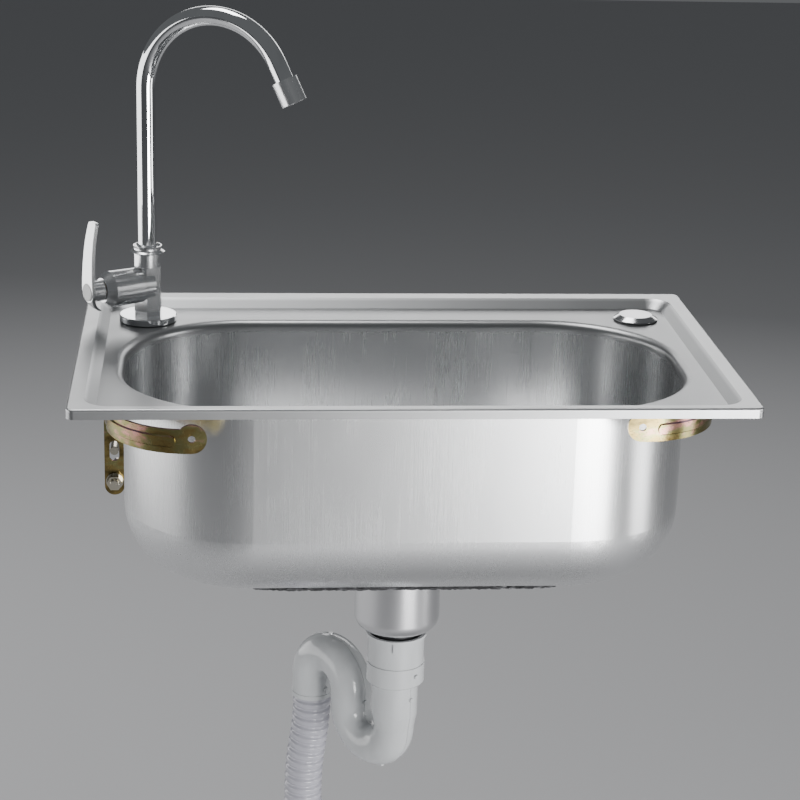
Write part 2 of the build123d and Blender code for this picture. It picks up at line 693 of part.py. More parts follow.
def make_drain_cup():
    """Deep cup with a turned-out rim and a hole for the outlet neck."""
    outer = fillet(rod(CUP_RADIUS, CUP_BOTTOM_Z, CUP_TOP_Z).edges().group_by(Axis.Z)[0], CUP_CORNER)
    inner = rod(CUP_RADIUS - CUP_SHEET, CUP_BOTTOM_Z + CUP_SHEET, CUP_TOP_Z)
    inner = fillet(inner.edges().group_by(Axis.Z)[0], CUP_CORNER - CUP_SHEET)
    rim = rod(CUP_RIM_RADIUS, CUP_TOP_Z - CUP_SHEET, CUP_TOP_Z)
    hole = rod(NECK_RADIUS, CUP_BOTTOM_Z, CUP_BOTTOM_Z + CUP_SHEET)
    return at_drain(outer + rim - inner - hole)


def make_drain_bridge():
    """Bar across the cup with the thread for the centre screw."""
    inside = CUP_RADIUS - CUP_SHEET - FIT_GAP
    block = Pos(0, 0, BRIDGE_Z + BRIDGE_HEIGHT / 2) * Box(2 * inside, BRIDGE_WIDTH, BRIDGE_HEIGHT)
    bar = block & rod(inside, BRIDGE_Z, BRIDGE_Z + BRIDGE_HEIGHT)
    return at_drain(bar - rod(SCREW_RADIUS + FIT_GAP, BRIDGE_Z, BRIDGE_Z + BRIDGE_HEIGHT))


def make_drain_screw():
    """Centre screw that pulls the seat and the cup together."""
    shoulder = SEAT_FLOOR_Z + SEAT_SHEET
    head = rod(SCREW_HEAD_RADIUS, shoulder, shoulder + SCREW_HEAD_HEIGHT)
    head = chamfer(head.edges().group_by(Axis.Z)[-1], SCREW_HEAD_HEIGHT / 3)
    slot = Pos(0, 0, shoulder + SCREW_HEAD_HEIGHT) * Box(2 * SCREW_HEAD_RADIUS, 1.4, 2)
    return at_drain(head - slot + rod(SCREW_RADIUS, BRIDGE_Z - SCREW_BELOW_BRIDGE, shoulder))


def make_strainer_basket():
    """Lift-out basket with a flat rim, a perforated wall and a perforated floor."""
    rim_top = BASKET_RIM_Z + BASKET_SHEET
    inner = BASKET_RADIUS - BASKET_SHEET
    basket = rod(BASKET_RADIUS, BASKET_FLOOR_Z, rim_top) + rod(BASKET_RIM_RADIUS, BASKET_RIM_Z, rim_top)
    basket -= rod(inner, BASKET_FLOOR_Z + BASKET_SHEET, rim_top)
    wall_middle = (BASKET_FLOOR_Z + BASKET_SHEET + BASKET_RIM_Z) / 2
    hole = Rot(0, 90, 0) * Cylinder(BASKET_HOLE_RADIUS, 4 * BASKET_SHEET)
    basket -= Pos(0, 0, wall_middle) * around(BASKET_SIDE_HOLES, BASKET_RADIUS, hole)
    for radius, count in zip(BASKET_RING_RADII, BASKET_RING_HOLES):
        drop = Pos(0, 0, BASKET_FLOOR_Z) * Cylinder(BASKET_HOLE_RADIUS, 4 * BASKET_SHEET)
        basket -= around(count, radius, drop)
    return at_drain(basket - rod(KNOB_STEM_RADIUS, BASKET_FLOOR_Z, BASKET_FLOOR_Z + BASKET_SHEET))


def make_basket_knob():
    """Knob on its stem, riveted to the basket's floor."""
    top = BASKET_RIM_Z + KNOB_PROUD
    stem = rod(KNOB_STEM_RADIUS, BASKET_FLOOR_Z, top - KNOB_HEIGHT / 2)
    knob = fillet(rod(KNOB_RADIUS, top - KNOB_HEIGHT, top).edges(), KNOB_HEIGHT * 0.3)
    return at_drain(stem + knob)


def make_basket_seal():
    """Rubber ring under the basket's rim, which closes the drain."""
    inner = BASKET_RADIUS + FIT_GAP
    return at_drain(ring(BASKET_RIM_RADIUS, inner, SEAT_Z + SEAT_SHEET, BASKET_RIM_Z))


def make_outlet_neck():
    """Threaded neck with a flange inside the cup."""
    flange_low = CUP_BOTTOM_Z + CUP_SHEET
    neck = ring(NECK_RADIUS, NECK_BORE, NECK_END_Z, flange_low + NECK_FLANGE_THICK)
    return at_drain(neck + ring(NECK_FLANGE_RADIUS, NECK_BORE, flange_low, flange_low + NECK_FLANGE_THICK))


# Coupling and trap


def make_coupling_nut():
    """Coupling nut with a flared mouth, a thread on the neck and a lip under the trap's collar."""
    rim_low = COUPLING_TOP_Z - NUT_RIM_HEIGHT
    lip_top = COUPLING_LOW_Z + NUT_LIP
    thread = NECK_RADIUS + FIT_GAP
    mouth = thread + NUT_MOUTH
    collar = COLLAR_RADIUS + FIT_GAP
    outline = [
        (mouth, COUPLING_TOP_Z),
        (NUT_RIM_RADIUS, COUPLING_TOP_Z),
        (NUT_RIM_RADIUS, rim_low),
        (NUT_RADIUS, rim_low),
        (NUT_RADIUS, COUPLING_LOW_Z),
        (COLLAR_NECK_RADIUS + FIT_GAP, COUPLING_LOW_Z),
        (COLLAR_NECK_RADIUS + FIT_GAP, lip_top),
        (collar, lip_top),
        (collar, NECK_END_Z),
        (thread, NECK_END_Z),
        (thread, COUPLING_TOP_Z - NUT_MOUTH),
    ]
    return at_drain(turned(outline))


def make_coupling_washer():
    """Rubber washer between the neck's end and the trap's collar."""
    return at_drain(ring(COLLAR_RADIUS - 6 * FIT_GAP, INLET_BORE, COLLAR_Z, NECK_END_Z))


def trap_path(start_z, end_z):
    """Middle line of the trap: down the inlet, up the middle leg and down the outlet."""
    low = LEG_SPACING_LOW / 2
    high = LEG_SPACING_HIGH / 2
    middle_x = -LEG_SPACING_LOW
    outlet_x = middle_x - LEG_SPACING_HIGH
    return Wire(
        [
            Edge.make_line((0, 0, start_z), (0, 0, BEND_LOW_Z)),
            Edge.make_three_point_arc((0, 0, BEND_LOW_Z), (-low, 0, BEND_LOW_Z - low), (middle_x, 0, BEND_LOW_Z)),
            Edge.make_line((middle_x, 0, BEND_LOW_Z), (middle_x, 0, BEND_HIGH_Z)),
            Edge.make_three_point_arc(
                (middle_x, 0, BEND_HIGH_Z), (middle_x - high, 0, BEND_HIGH_Z + high), (outlet_x, 0, BEND_HIGH_Z)
            ),
            Edge.make_line((outlet_x, 0, BEND_HIGH_Z), (outlet_x, 0, end_z)),
        ]
    )


def half_bend(start, turn_x, radius):
    """Half turn of pipe in the XZ plane, from a point round to a point beside it."""
    rise = -abs(turn_x) / 2 if start[2] == BEND_LOW_Z else abs(turn_x) / 2
    end = (start[0] + turn_x, start[1], start[2])
    crown = (start[0] + turn_x / 2, start[1], start[2] + rise)
    section = Pos(*start) * Circle(radius)
    return sweep(section, path=Edge.make_three_point_arc(start, crown, end))


def make_trap_body():
    """S-trap, turned back towards the wall: collar, socket ring, three legs and two bends."""
    middle_x = -LEG_SPACING_LOW
    outlet_x = middle_x - LEG_SPACING_HIGH
    head = turned(
        [
            (0, COLLAR_Z),
            (COLLAR_RADIUS, COLLAR_Z),
            (COLLAR_RADIUS, COLLAR_Z - COLLAR_THICK),
            (COLLAR_NECK_RADIUS, COLLAR_Z - COLLAR_THICK),
            (COLLAR_NECK_RADIUS, SOCKET_Z),
            (SOCKET_RADIUS, SOCKET_Z),
            (SOCKET_RADIUS, INLET_Z + SOCKET_CHAMFER),
            (SOCKET_RADIUS - SOCKET_CHAMFER, INLET_Z),
            (INLET_RADIUS, INLET_Z),
            (INLET_RADIUS, BEND_LOW_Z + INLET_TAPER),
            (TRAP_BEND_RADIUS, BEND_LOW_Z),
            (0, BEND_LOW_Z),
        ]
    )
    leg = Pos(middle_x, 0, (BEND_LOW_Z + BEND_HIGH_Z) / 2) * Cone(TRAP_BEND_RADIUS, TRAP_TUBE_RADIUS, RISE_LENGTH)
    outlet = rod(TRAP_TUBE_RADIUS, OUTLET_Z, BEND_HIGH_Z)
    outlet += rod(TRAP_TUBE_RADIUS + OUTLET_LIP, OUTLET_Z, OUTLET_Z + OUTLET_LIP_HEIGHT)
    outlet = Pos(outlet_x, 0, 0) * outlet
    body = head + half_bend((0, 0, BEND_LOW_Z), -LEG_SPACING_LOW, TRAP_BEND_RADIUS) + leg
    body = body + half_bend((middle_x, 0, BEND_HIGH_Z), -LEG_SPACING_HIGH, TRAP_TUBE_RADIUS) + outlet
    inlet_bore = turned(
        [
            (0, COLLAR_Z),
            (INLET_BORE, COLLAR_Z),
            (INLET_BORE, BEND_LOW_Z + INLET_TAPER),
            (TRAP_BORE, BEND_LOW_Z),
            (0, BEND_LOW_Z),
        ]
    )
    bend_start = Pos(0, 0, BEND_LOW_Z + 1) * Circle(TRAP_BORE)
    bore = sweep(bend_start, path=trap_path(BEND_LOW_Z + 1, OUTLET_Z))
    return at_drain(Rot(0, 0, -TRAP_TURN) * (body - inlet_bore - bore))


def make_hose_adapter():
    """Stepped sleeve, glued in the trap's outlet and pushed into the hose."""
    inner = HOSE_BORE - ADAPTER_WALL
    sleeve = ring(TRAP_BORE - FIT_GAP, inner, OUTLET_Z, OUTLET_Z + ADAPTER_DEPTH)
    sleeve += ring(HOSE_BORE - FIT_GAP, inner, OUTLET_Z - ADAPTER_DEPTH, OUTLET_Z)
    return Pos(OUTLET_X, OUTLET_Y, 0) * sleeve


# Drain hose


def hose_points():
    """Corner points of the hose's route, from the trap's outlet to the spigot."""
    place = Vector(OUTLET_X, OUTLET_Y, OUTLET_Z)
    points = [place]
    for step in HOSE_STEPS:
        place = place + Vector(*step)
        points.append(place)
    return points


def hose_radii(points):
    """Radius of the route's arc at each corner, from the shorter of its two runs."""
    radii = []
    for before, corner, after in zip(points, points[1:], points[2:]):
        arriving = corner - before
        leaving = after - corner
        turn = math.radians(arriving.get_angle(leaving))
        shorter = min(arriving.length, leaving.length)
        radii.append(ROUTE_SHARE * shorter / math.tan(turn / 2))
    return radii


def make_drain_hose():
    """Ribbed hose with plain ends and a smooth bore."""
    points = hose_points()
    radii = hose_radii(points)
    route = FilletPolyline(*points, radius=radii)
    wire = Wire(route.edges())
    print("hose length", round(wire.length, 1), "arc radii", [round(radius) for radius in radii])
    ribs = int((wire.length - 2 * HOSE_CUFF) / HOSE_RIB_PITCH)
    pitch = (wire.length - 2 * HOSE_CUFF) / ribs
    rise = (1 - HOSE_RIB_CREST - HOSE_RIB_ROOT) / 2
    stations = [(0, HOSE_ROOT)]
    for rib in range(ribs):
        start = HOSE_CUFF + (rib + HOSE_RIB_ROOT / 2) * pitch
        stations.append((start, HOSE_ROOT))
        stations.append((start + rise * pitch, HOSE_RADIUS))
        stations.append((start + (rise + HOSE_RIB_CREST) * pitch, HOSE_RADIUS))
        stations.append((start + (2 * rise + HOSE_RIB_CREST) * pitch, HOSE_ROOT))
    stations.append((wire.length, HOSE_ROOT))
    outer = []
    inner = []
    for distance, radius in stations:
        share = distance / wire.length
        plane = Plane(origin=wire @ share, x_dir=(1, 0, 0), z_dir=wire % share)
        outer.append((plane * Circle(radius)).face())
        inner.append((plane * Circle(HOSE_BORE)).face())
    return loft(outer, ruled=True) - loft(inner, ruled=True)


def hose_end():
    """Middle of the hose's lower end."""
    return hose_points()[-1]


def make_hose_spigot():
    """Spigot pushed into the hose's lower end, with a flange and a smooth tail."""
    end = hose_end()
    inner = HOSE_BORE - ADAPTER_WALL
    spigot = ring(HOSE_BORE - FIT_GAP, inner, 0, ADAPTER_DEPTH)
    spigot += ring(SPIGOT_FLANGE_RADIUS, inner, -SPIGOT_FLANGE_THICK, 0)
    spigot += ring(SPIGOT_RADIUS, inner, -SPIGOT_LENGTH, -SPIGOT_FLANGE_THICK)
    return Pos(end.X, end.Y, end.Z) * spigot


def make_floor_seal():
    """Rubber seal on the spigot, with a flange that lies on the floor pipe's rim."""
    end = hose_end()
    top = -SPIGOT_FLANGE_THICK
    flange_low = top - SEAL_FLANGE_THICK
    low = flange_low - SEAL_LENGTH
    seal = ring(SEAL_FLANGE_RADIUS, SPIGOT_RADIUS, flange_low, top)
    seal += ring(SEAL_RADIUS, SPIGOT_RADIUS, low, flange_low)
    return Pos(end.X, end.Y, end.Z) * seal


# Tap


def make_tap_body():
    """Hexagon column with a round top, a valve boss, a threaded shank and the waterways."""
    hex_top = DECK_Z + HEX_HEIGHT
    foot_top = FLANGE_TOP_Z + FOOT_HEIGHT
    body = hexagon(HEX_FLATS, foot_top, hex_top, HEX_TURN)
    body += hexagon(HEX_FLATS - 2 * FOOT_GROOVE, foot_top - FOOT_GROOVE, foot_top, HEX_TURN)
    body += hexagon(HEX_FLATS - FOOT_GROOVE / 2, FLANGE_TOP_Z, foot_top - FOOT_GROOVE, HEX_TURN)
    body += rod(COLUMN_RADIUS, hex_top, COLUMN_Z)
    body += rod(BODY_NECK_RADIUS, COLUMN_Z, BODY_TOP_Z)
    body += rod(SHANK_RADIUS, SHANK_END_Z, FLANGE_TOP_Z)
    groove_low = SHANK_END_Z + INLET_THREAD
    groove = SHANK_RADIUS - SHANK_GROOVE_DEPTH
    body -= ring(2 * SHANK_RADIUS, groove, groove_low, groove_low + SHANK_GROOVE_WIDTH)
    body -= rod(SHANK_BORE, SHANK_END_Z, VALVE_Z + WATERWAY)
    body -= rod(SOCKET_BORE, SOCKET_FLOOR_Z, BODY_TOP_Z)
    body = at_tap(body)
    body += on_valve(rod(BOSS_RADIUS, 0, BOSS_END)) - at_tap(rod(HEX_FLATS / 2 - 2, SHANK_END_Z, BODY_TOP_Z))
    body -= on_valve(rod(BONNET_RADIUS + BONNET_ROOM, BOSS_END, 2 * BOSS_END))
    body -= on_valve(rod(CHAMBER_RADIUS, CHAMBER_START, BOSS_END))
    body -= on_valve(rod(WATERWAY, 0, CHAMBER_START))
    riser = VALVE_DIRECTION * (BOSS_END - RISER_RADIUS - RISER_WALL)
    body -= at_tap(Pos(riser.X, riser.Y, 0) * rod(RISER_RADIUS, VALVE_Z, SOCKET_FLOOR_Z))
    return body


def make_tap_flange():
    """Round base flange with a bevelled edge."""
    low = DECK_Z + FLANGE_SEAL_THICK
    flange = ring(FLANGE_RADIUS, SHANK_RADIUS + FIT_GAP, low, FLANGE_TOP_Z)
    rim = flange.edges().group_by(Axis.Z)[-1].sort_by(SortBy.RADIUS)[-1]
    return at_tap(chamfer(rim, FLANGE_BEVEL))


def make_tap_flange_seal():
    """Rubber ring between the flange and the deck."""
    return at_tap(ring(FLANGE_RADIUS - 1, SHANK_RADIUS + FIT_GAP, DECK_Z, DECK_Z + FLANGE_SEAL_THICK))


def make_tap_lock_washer():
    """Washer under the deck, on the tap's shank."""
    low = DECK_UNDER_Z - LOCK_WASHER_THICK
    return at_tap(ring(LOCK_WASHER_RADIUS, SHANK_RADIUS + FIT_GAP, low, DECK_UNDER_Z))


def make_tap_lock_nut():
    """Hexagon lock nut on the tap's shank."""
    top = DECK_UNDER_Z - LOCK_WASHER_THICK
    low = top - LOCK_NUT_HEIGHT
    return at_tap(hexagon(LOCK_NUT_FLATS, low, top) - rod(SHANK_RADIUS + FIT_GAP, low, top))


# Spout


def spout_path():
    """Middle line of the spout: up, over the arc and a little way down its slope."""
    rest = math.radians(180 - SPOUT_SWEEP)
    middle = math.radians(180 - SPOUT_SWEEP / 2)
    start = Vector(0, 0, SLEEVE_Z)
    foot = Vector(0, 0, ARC_Z)
    crown = Vector(SPOUT_ARC + SPOUT_ARC * math.cos(middle), 0, ARC_Z + SPOUT_ARC * math.sin(middle))
    arc_end = Vector(SPOUT_ARC + SPOUT_ARC * math.cos(rest), 0, ARC_Z + SPOUT_ARC * math.sin(rest))
    slope = Vector(math.sin(rest), 0, -math.cos(rest))
    end = arc_end + slope * SPOUT_END
    line = Edge.make_line(start, foot)
    arc = Edge.make_three_point_arc(foot, crown, arc_end)
    return Wire([line, arc, Edge.make_line(arc_end, end)]), end, slope


def on_nozzle(shape):
    """Moves a shape from the Z axis to the spout's end, with +Z down the slope."""
    path, end, slope = spout_path()
    return at_spout(Plane(origin=end, x_dir=(0, 1, 0), z_dir=slope).location * shape)


def make_spout_tube():
    """Bent spout tube."""
    path, end, slope = spout_path()
    section = Pos(0, 0, SLEEVE_Z) * (Circle(TUBE_RADIUS) - Circle(TUBE_BORE))
    return at_spout(sweep(section, path=path))


def make_spout_sleeve():
    """Sleeve on the tube's foot, with two grooves for the O-rings."""
    sleeve = ring(SLEEVE_RADIUS, TUBE_RADIUS, SLEEVE_Z, SLEEVE_Z + SLEEVE_HEIGHT)
    for height in o_ring_heights():
        groove = ring(2 * SLEEVE_RADIUS, SLEEVE_RADIUS - O_RING, height - O_RING / 2 - 0.1, height + O_RING / 2 + 0.1)
        sleeve -= groove
    return at_tap(sleeve)


def o_ring_heights():
    """Heights of the two O-rings on the sleeve."""
    middle = SLEEVE_Z + SLEEVE_HEIGHT / 2
    return [middle - O_RING_PITCH / 2, middle + O_RING_PITCH / 2]


def make_spout_o_rings():
    """Two O-rings in the sleeve's grooves."""
    radius = SLEEVE_RADIUS - O_RING / 2
    rings = [Pos(0, 0, height) * Torus(radius, O_RING / 2) for height in o_ring_heights()]
    return at_tap(Part() + rings)


def make_spout_bush():
    """Bush that guides the tube under the collar nut."""
    return at_tap(ring(SOCKET_BORE - FIT_GAP, TUBE_RADIUS + FIT_GAP, BUSH_Z, BODY_TOP_Z))


def make_spout_nut():
    """Collar nut with a sharp ridge and a flared lip round the tube."""
    low = SPOUT_NUT_Z
    top = low + SPOUT_NUT_HEIGHT
    thread = BODY_NECK_RADIUS + FIT_GAP
    tube = TUBE_RADIUS + 6 * FIT_GAP
    roof = BODY_TOP_Z + FIT_GAP
    ridge = low + SPOUT_NUT_LIP
    outline = [
        (thread, low),
        (SPOUT_NUT_RADIUS, low),
        (SPOUT_NUT_RADIUS, ridge),
        (SPOUT_NUT_RIDGE, ridge + SPOUT_NUT_RIDGE_HEIGHT / 2),
        (SPOUT_NUT_RADIUS, ridge + SPOUT_NUT_RIDGE_HEIGHT),
        (SPOUT_NUT_RADIUS, roof + SPOUT_NUT_ROOF),
        (SPOUT_NUT_RADIUS + SPOUT_NUT_LIP / 2, top),
        (SPOUT_NUT_RADIUS - SPOUT_NUT_LIP / 2, top),
        (SPOUT_NUT_RADIUS - 2 * SPOUT_NUT_LIP, roof + SPOUT_NUT_ROOF),
        (tube, roof + SPOUT_NUT_ROOF),
        (tube, roof),
        (thread, roof),
    ]
    return at_tap(turned(outline))


def make_spout_end_ring():
    """Threaded ring brazed on the tube's end."""
    return on_nozzle(ring(TUBE_RADIUS + END_RING_WALL, TUBE_RADIUS, -END_RING_LENGTH, 0))


def nozzle_span():
    """Start and end of the nozzle shell along the spout's slope."""
    start = -END_RING_LENGTH - NOZZLE_WALL
    return start, start + NOZZLE_LENGTH


def make_nozzle_shell():
    """Nozzle shell screwed over the tube's end ring."""
    start, end = nozzle_span()
    inner = TUBE_RADIUS + END_RING_WALL + FIT_GAP
    shell = ring(NOZZLE_RADIUS, inner, start, end)
    return on_nozzle(shell + ring(inner + 0.5, TUBE_RADIUS + FIT_GAP, start, start + NOZZLE_WALL))


def aerator_start():
    """Start of the aerator insert, below its washer."""
    return AERATOR_WASHER_THICK


def make_aerator_washer():
    """Rubber washer between the tube's end and the aerator."""
    outer = TUBE_RADIUS + END_RING_WALL
    return on_nozzle(ring(outer, TUBE_BORE, 0, AERATOR_WASHER_THICK))


def make_aerator_insert():
    """Aerator insert with a ring of jets."""
    start = aerator_start()
    end = nozzle_span()[1] - AERATOR_RECESS - SCREEN_THICK
    outer = TUBE_RADIUS + END_RING_WALL
    insert = rod(outer, start, end)
    jet = Pos(0, 0, (start + end) / 2) * Cylinder(1.2, end - start)
    return on_nozzle(insert - around(AERATOR_JETS, outer * 0.6, jet) - around(AERATOR_JETS // 2, outer * 0.28, jet))


def make_aerator_screen():
    """Perforated screen at the nozzle's mouth."""
    end = nozzle_span()[1] - AERATOR_RECESS
    outer = TUBE_RADIUS + END_RING_WALL
    hole = Pos(0, 0, end - SCREEN_THICK / 2) * Cylinder(0.9, SCREEN_THICK)
    screen = rod(outer, end - SCREEN_THICK, end)
    screen -= around(SCREEN_HOLES, outer * 0.78, hole)
    return on_nozzle(screen - around(SCREEN_HOLES // 2, outer * 0.4, hole))


# Valve, with lengths along its axis


SEAT_END = CHAMBER_START + SEAT_THICK
FIXED_END = SEAT_END + DISC_THICK
MOVING_START = FIXED_END + DISC_GAP
MOVING_END = MOVING_START + DISC_THICK
DRIVER_END = MOVING_END + DRIVER_THICK


def make_cartridge_seat():
    """Rubber ring between the body's seat and the fixed disc."""
    return on_valve(ring(DISC_RADIUS, WATERWAY + 0.5, CHAMBER_START, SEAT_END))


def make_fixed_disc():
    """Fixed ceramic disc with a half-round port."""
    disc = rod(DISC_RADIUS, SEAT_END, FIXED_END)
    half = Pos(DISC_RADIUS / 2, 0, FIXED_END) * Box(DISC_RADIUS, DISC_RADIUS * 2, 4 * DISC_THICK)
    return on_valve(disc - (rod(WATERWAY, SEAT_END, FIXED_END) - half))


def make_moving_disc():
    """Moving ceramic disc with a half-round port."""
    disc = rod(DISC_RADIUS, MOVING_START, MOVING_END)
    half = Pos(-DISC_RADIUS / 2, 0, MOVING_END) * Box(DISC_RADIUS, DISC_RADIUS * 2, 4 * DISC_THICK)
    return on_valve(disc - (rod(WATERWAY, MOVING_START, MOVING_END) - half))


def make_valve_spindle():
    """Spindle with a driver for the moving disc and a threaded end hole."""
    driver = rod(DISC_RADIUS, MOVING_END, DRIVER_END)
    stem = rod(SPINDLE_RADIUS, DRIVER_END, SPINDLE_END)
    hole = rod(HANDLE_SCREW_RADIUS, SPINDLE_END - HANDLE_SCREW_DEPTH, SPINDLE_END)
    groove_at = spindle_ring_place()
    groove = ring(2 * SPINDLE_RADIUS, SPINDLE_RADIUS - O_RING / 2, groove_at - O_RING / 2, groove_at + O_RING / 2)
    return on_valve(driver + stem - hole - groove)


def spindle_ring_place():
    """Place of the spindle's O-ring along the valve's axis."""
    return (CARTRIDGE_HEX_END + CARTRIDGE_END) / 2


def make_spindle_o_ring():
    """O-ring in the spindle's groove."""
    section = O_RING / 2 - 0.02
    place = Pos(0, 0, spindle_ring_place())
    return on_valve(place * ring(SPINDLE_RADIUS, SPINDLE_RADIUS - section, -section, section))


def make_cartridge_body():
    """Cartridge housing: a windowed skirt round the discs, a hexagon and a stem guide."""
    skirt_bore = DISC_RADIUS + FIT_GAP
    skirt = DISC_RADIUS + CARTRIDGE_WALL
    spindle_bore = SPINDLE_RADIUS + FIT_GAP
    housing = rod(skirt, SEAT_END, BOSS_END + FIT_GAP)
    housing += hexagon(CARTRIDGE_HEX_FLATS, BOSS_END + FIT_GAP, CARTRIDGE_HEX_END)
    housing += rod(CARTRIDGE_STEM_RADIUS, CARTRIDGE_HEX_END, CARTRIDGE_END)
    housing -= rod(skirt_bore, SEAT_END, DRIVER_END + FIT_GAP)
    housing -= rod(spindle_bore, DRIVER_END, CARTRIDGE_END)
    window = Pos(0, 0, (MOVING_START + MOVING_END) / 2) * Box(4 * skirt, CARTRIDGE_WINDOW, DISC_THICK)
    return on_valve(housing - window)


def make_valve_bonnet():
    """Chromed barrel and cone over the cartridge."""
    start = BOSS_END + 2 * FIT_GAP
    inner = BONNET_RADIUS - BONNET_WALL
    mouth = CARTRIDGE_STEM_RADIUS + 2 * FIT_GAP
    back = BONNET_RADIUS - BONNET_TAPER
    outline = [
        (inner, start),
        (back - BONNET_BEVEL, start),
        (back, start + BONNET_BEVEL),
        (BONNET_RADIUS, BONNET_BARREL_END),
        (BONNET_FRONT_RADIUS, BONNET_END),
        (mouth, BONNET_END),
        (mouth, BONNET_END - BONNET_WALL),
        (inner, BONNET_BARREL_END - BONNET_WALL / 2),
    ]
    return on_valve(turned(outline))


def lever_side(depth):
    """Side curve of the lever at a depth below its outer face, from the tail to the top."""
    face = LEVER_FACE - depth
    points = [
        (-LEVER_TAIL, face - LEVER_TAIL_BEND),
        (-LEVER_TAIL / 2, face - LEVER_TAIL_BEND / 5),
        (HUB_RADIUS / 2, face),
        (LEVER_RISE / 3, face - LEVER_TOP_BEND / 20),
        (LEVER_RISE * 2 / 3, face - LEVER_TOP_BEND / 3),
        (LEVER_RISE, face - LEVER_TOP_BEND),
    ]
    return Spline(*[(height, 0, place) for height, place in points])


def lever_width():
    """Front outline of the lever: an even blade, a rounded top and a pointed tail."""
    half = LEVER_WIDTH / 2
    tip = LEVER_TIP_WIDTH / 2
    tail = -LEVER_TAIL
    outline = Polyline(
        (LEVER_RISE, -half), (LEVER_RISE, half), (0, HUB_RADIUS), (tail, tip), (tail, -tip), (0, -HUB_RADIUS),
        close=True,
    )
    face = make_face(outline)
    return fillet(face.vertices().group_by(Axis.X)[-1], LEVER_CORNER)


def make_lever_handle():
    """Lever: hub on the spindle, a curved blade upwards and a short pointed tail."""
    outer = lever_side(0)
    inner = lever_side(LEVER_THICK)
    ends = [Line(inner @ 1, outer @ 1), Line(inner @ 0, outer @ 0)]
    side = make_face(Wire(inner.edges() + ends[0].edges() + outer.edges() + ends[1].edges()))
    blade = extrude(side, amount=HUB_RADIUS, both=True)
    blade &= extrude(Pos(0, 0, HUB_START) * lever_width(), amount=LEVER_FACE)
    seat = LEVER_FACE - BUTTON_THICK + BUTTON_PROUD
    screw_seat = seat - HANDLE_SCREW_HEAD_HEIGHT
    handle = blade + rod(HUB_RADIUS, HUB_START, HUB_END)
    handle -= rod(SPINDLE_RADIUS, HUB_START, SPINDLE_END)
    handle -= rod(HANDLE_SCREW_RADIUS + FIT_GAP, SPINDLE_END, screw_seat)
    handle -= rod(HANDLE_SCREW_HEAD + FIT_GAP, screw_seat, LEVER_FACE)
    handle -= rod(BUTTON_RADIUS, seat, LEVER_FACE + LEVER_THICK)
    return on_valve(handle)


def make_handle_screw():
    """Screw that holds the lever on the spindle."""
    button_seat = LEVER_FACE - BUTTON_THICK + BUTTON_PROUD
    seat = button_seat - HANDLE_SCREW_HEAD_HEIGHT
    head = rod(HANDLE_SCREW_HEAD, seat, button_seat - FIT_GAP)
    slot = Pos(0, 0, button_seat) * Box(2 * HANDLE_SCREW_HEAD, 1, 2)
    return on_valve(head - slot + rod(HANDLE_SCREW_RADIUS, SPINDLE_END - HANDLE_SCREW_DEPTH + 1, seat))


def make_index_button():
    """Plain button pressed into the lever's hub."""
    low = LEVER_FACE - BUTTON_THICK + BUTTON_PROUD
    button = rod(BUTTON_RADIUS, low, low + BUTTON_THICK)
    return on_valve(chamfer(button.edges().group_by(Axis.Z)[-1], 0.5))


NODES = {
    "sink_bowl": make_sink,
    "undercoat": make_undercoat,
    "hole_cover_cap": make_cover_cap,
    "hole_cover_seal": make_cover_seal,
    "hole_cover_stud": make_cover_stud,
    "hole_cover_clamp": make_cover_clamp,
    "hole_cover_nut": make_cover_nut,
    "bracket_left": lambda: mirror(bracket(LEFT_ARM_DROOP), about=Plane.YZ),
    "bracket_right": lambda: bracket(0),
    "wall_studs": make_wall_studs,
    "wall_clips": make_wall_clips,
    "wall_washers": make_wall_washers,
    "wall_nuts": make_wall_nuts,
    "drain_flange": make_drain_flange,
    "drain_gasket_upper": make_gasket_upper,
    "drain_gasket_lower": make_gasket_lower,
    "drain_cup": make_drain_cup,
    "drain_bridge": make_drain_bridge,
    "drain_screw": make_drain_screw,
    "strainer_basket": make_strainer_basket,
    "basket_knob": make_basket_knob,
    "basket_seal": make_basket_seal,
    "outlet_neck": make_outlet_neck,
    "coupling_nut": make_coupling_nut,
    "coupling_washer": make_coupling_washer,
    "trap_body": make_trap_body,
    "hose_adapter": make_hose_adapter,
    "drain_hose": make_drain_hose,
    "hose_spigot": make_hose_spigot,
    "floor_seal": make_floor_seal,
    "tap_body": make_tap_body,
    "tap_flange": make_tap_flange,
    "tap_flange_seal": make_tap_flange_seal,
    "tap_lock_washer": make_tap_lock_washer,
    "tap_lock_nut": make_tap_lock_nut,
    "spout_tube": make_spout_tube,
    "spout_sleeve": make_spout_sleeve,
    "spout_o_rings": make_spout_o_rings,
    "spout_bush": make_spout_bush,
    "spout_nut": make_spout_nut,
    "spout_end_ring": make_spout_end_ring,
    "nozzle_shell": make_nozzle_shell,
    "aerator_washer": make_aerator_washer,
    "aerator_insert": make_aerator_insert,
    "aerator_screen": make_aerator_screen,
    "cartridge_seat": make_cartridge_seat,
    "fixed_disc": make_fixed_disc,
    "moving_disc": make_moving_disc,
    "valve_spindle": make_valve_spindle,
    "spindle_o_ring": make_spindle_o_ring,
    "cartridge_body": make_cartridge_body,
    "valve_bonnet": make_valve_bonnet,
    "lever_handle": make_lever_handle,
    "handle_screw": make_handle_screw,
    "index_button": make_index_button,
}

os.makedirs("parts", exist_ok=True)
for node, make in NODES.items():
    export_step(make(), os.path.join("parts", node + ".step"))
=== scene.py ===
"""Dresses the wall-hung stainless steel sink: finishes, hose, mouldings, threads, light, camera.

Metres. +Z is up, +X is to the right and the front faces -Y. The wall is the plane y = 0.
"""
from __future__ import annotations

import json
import logging
import math
from dataclasses import dataclass
from enum import Enum
from typing import Any, Sequence

import bmesh
import bpy
from mathutils import Matrix, Vector

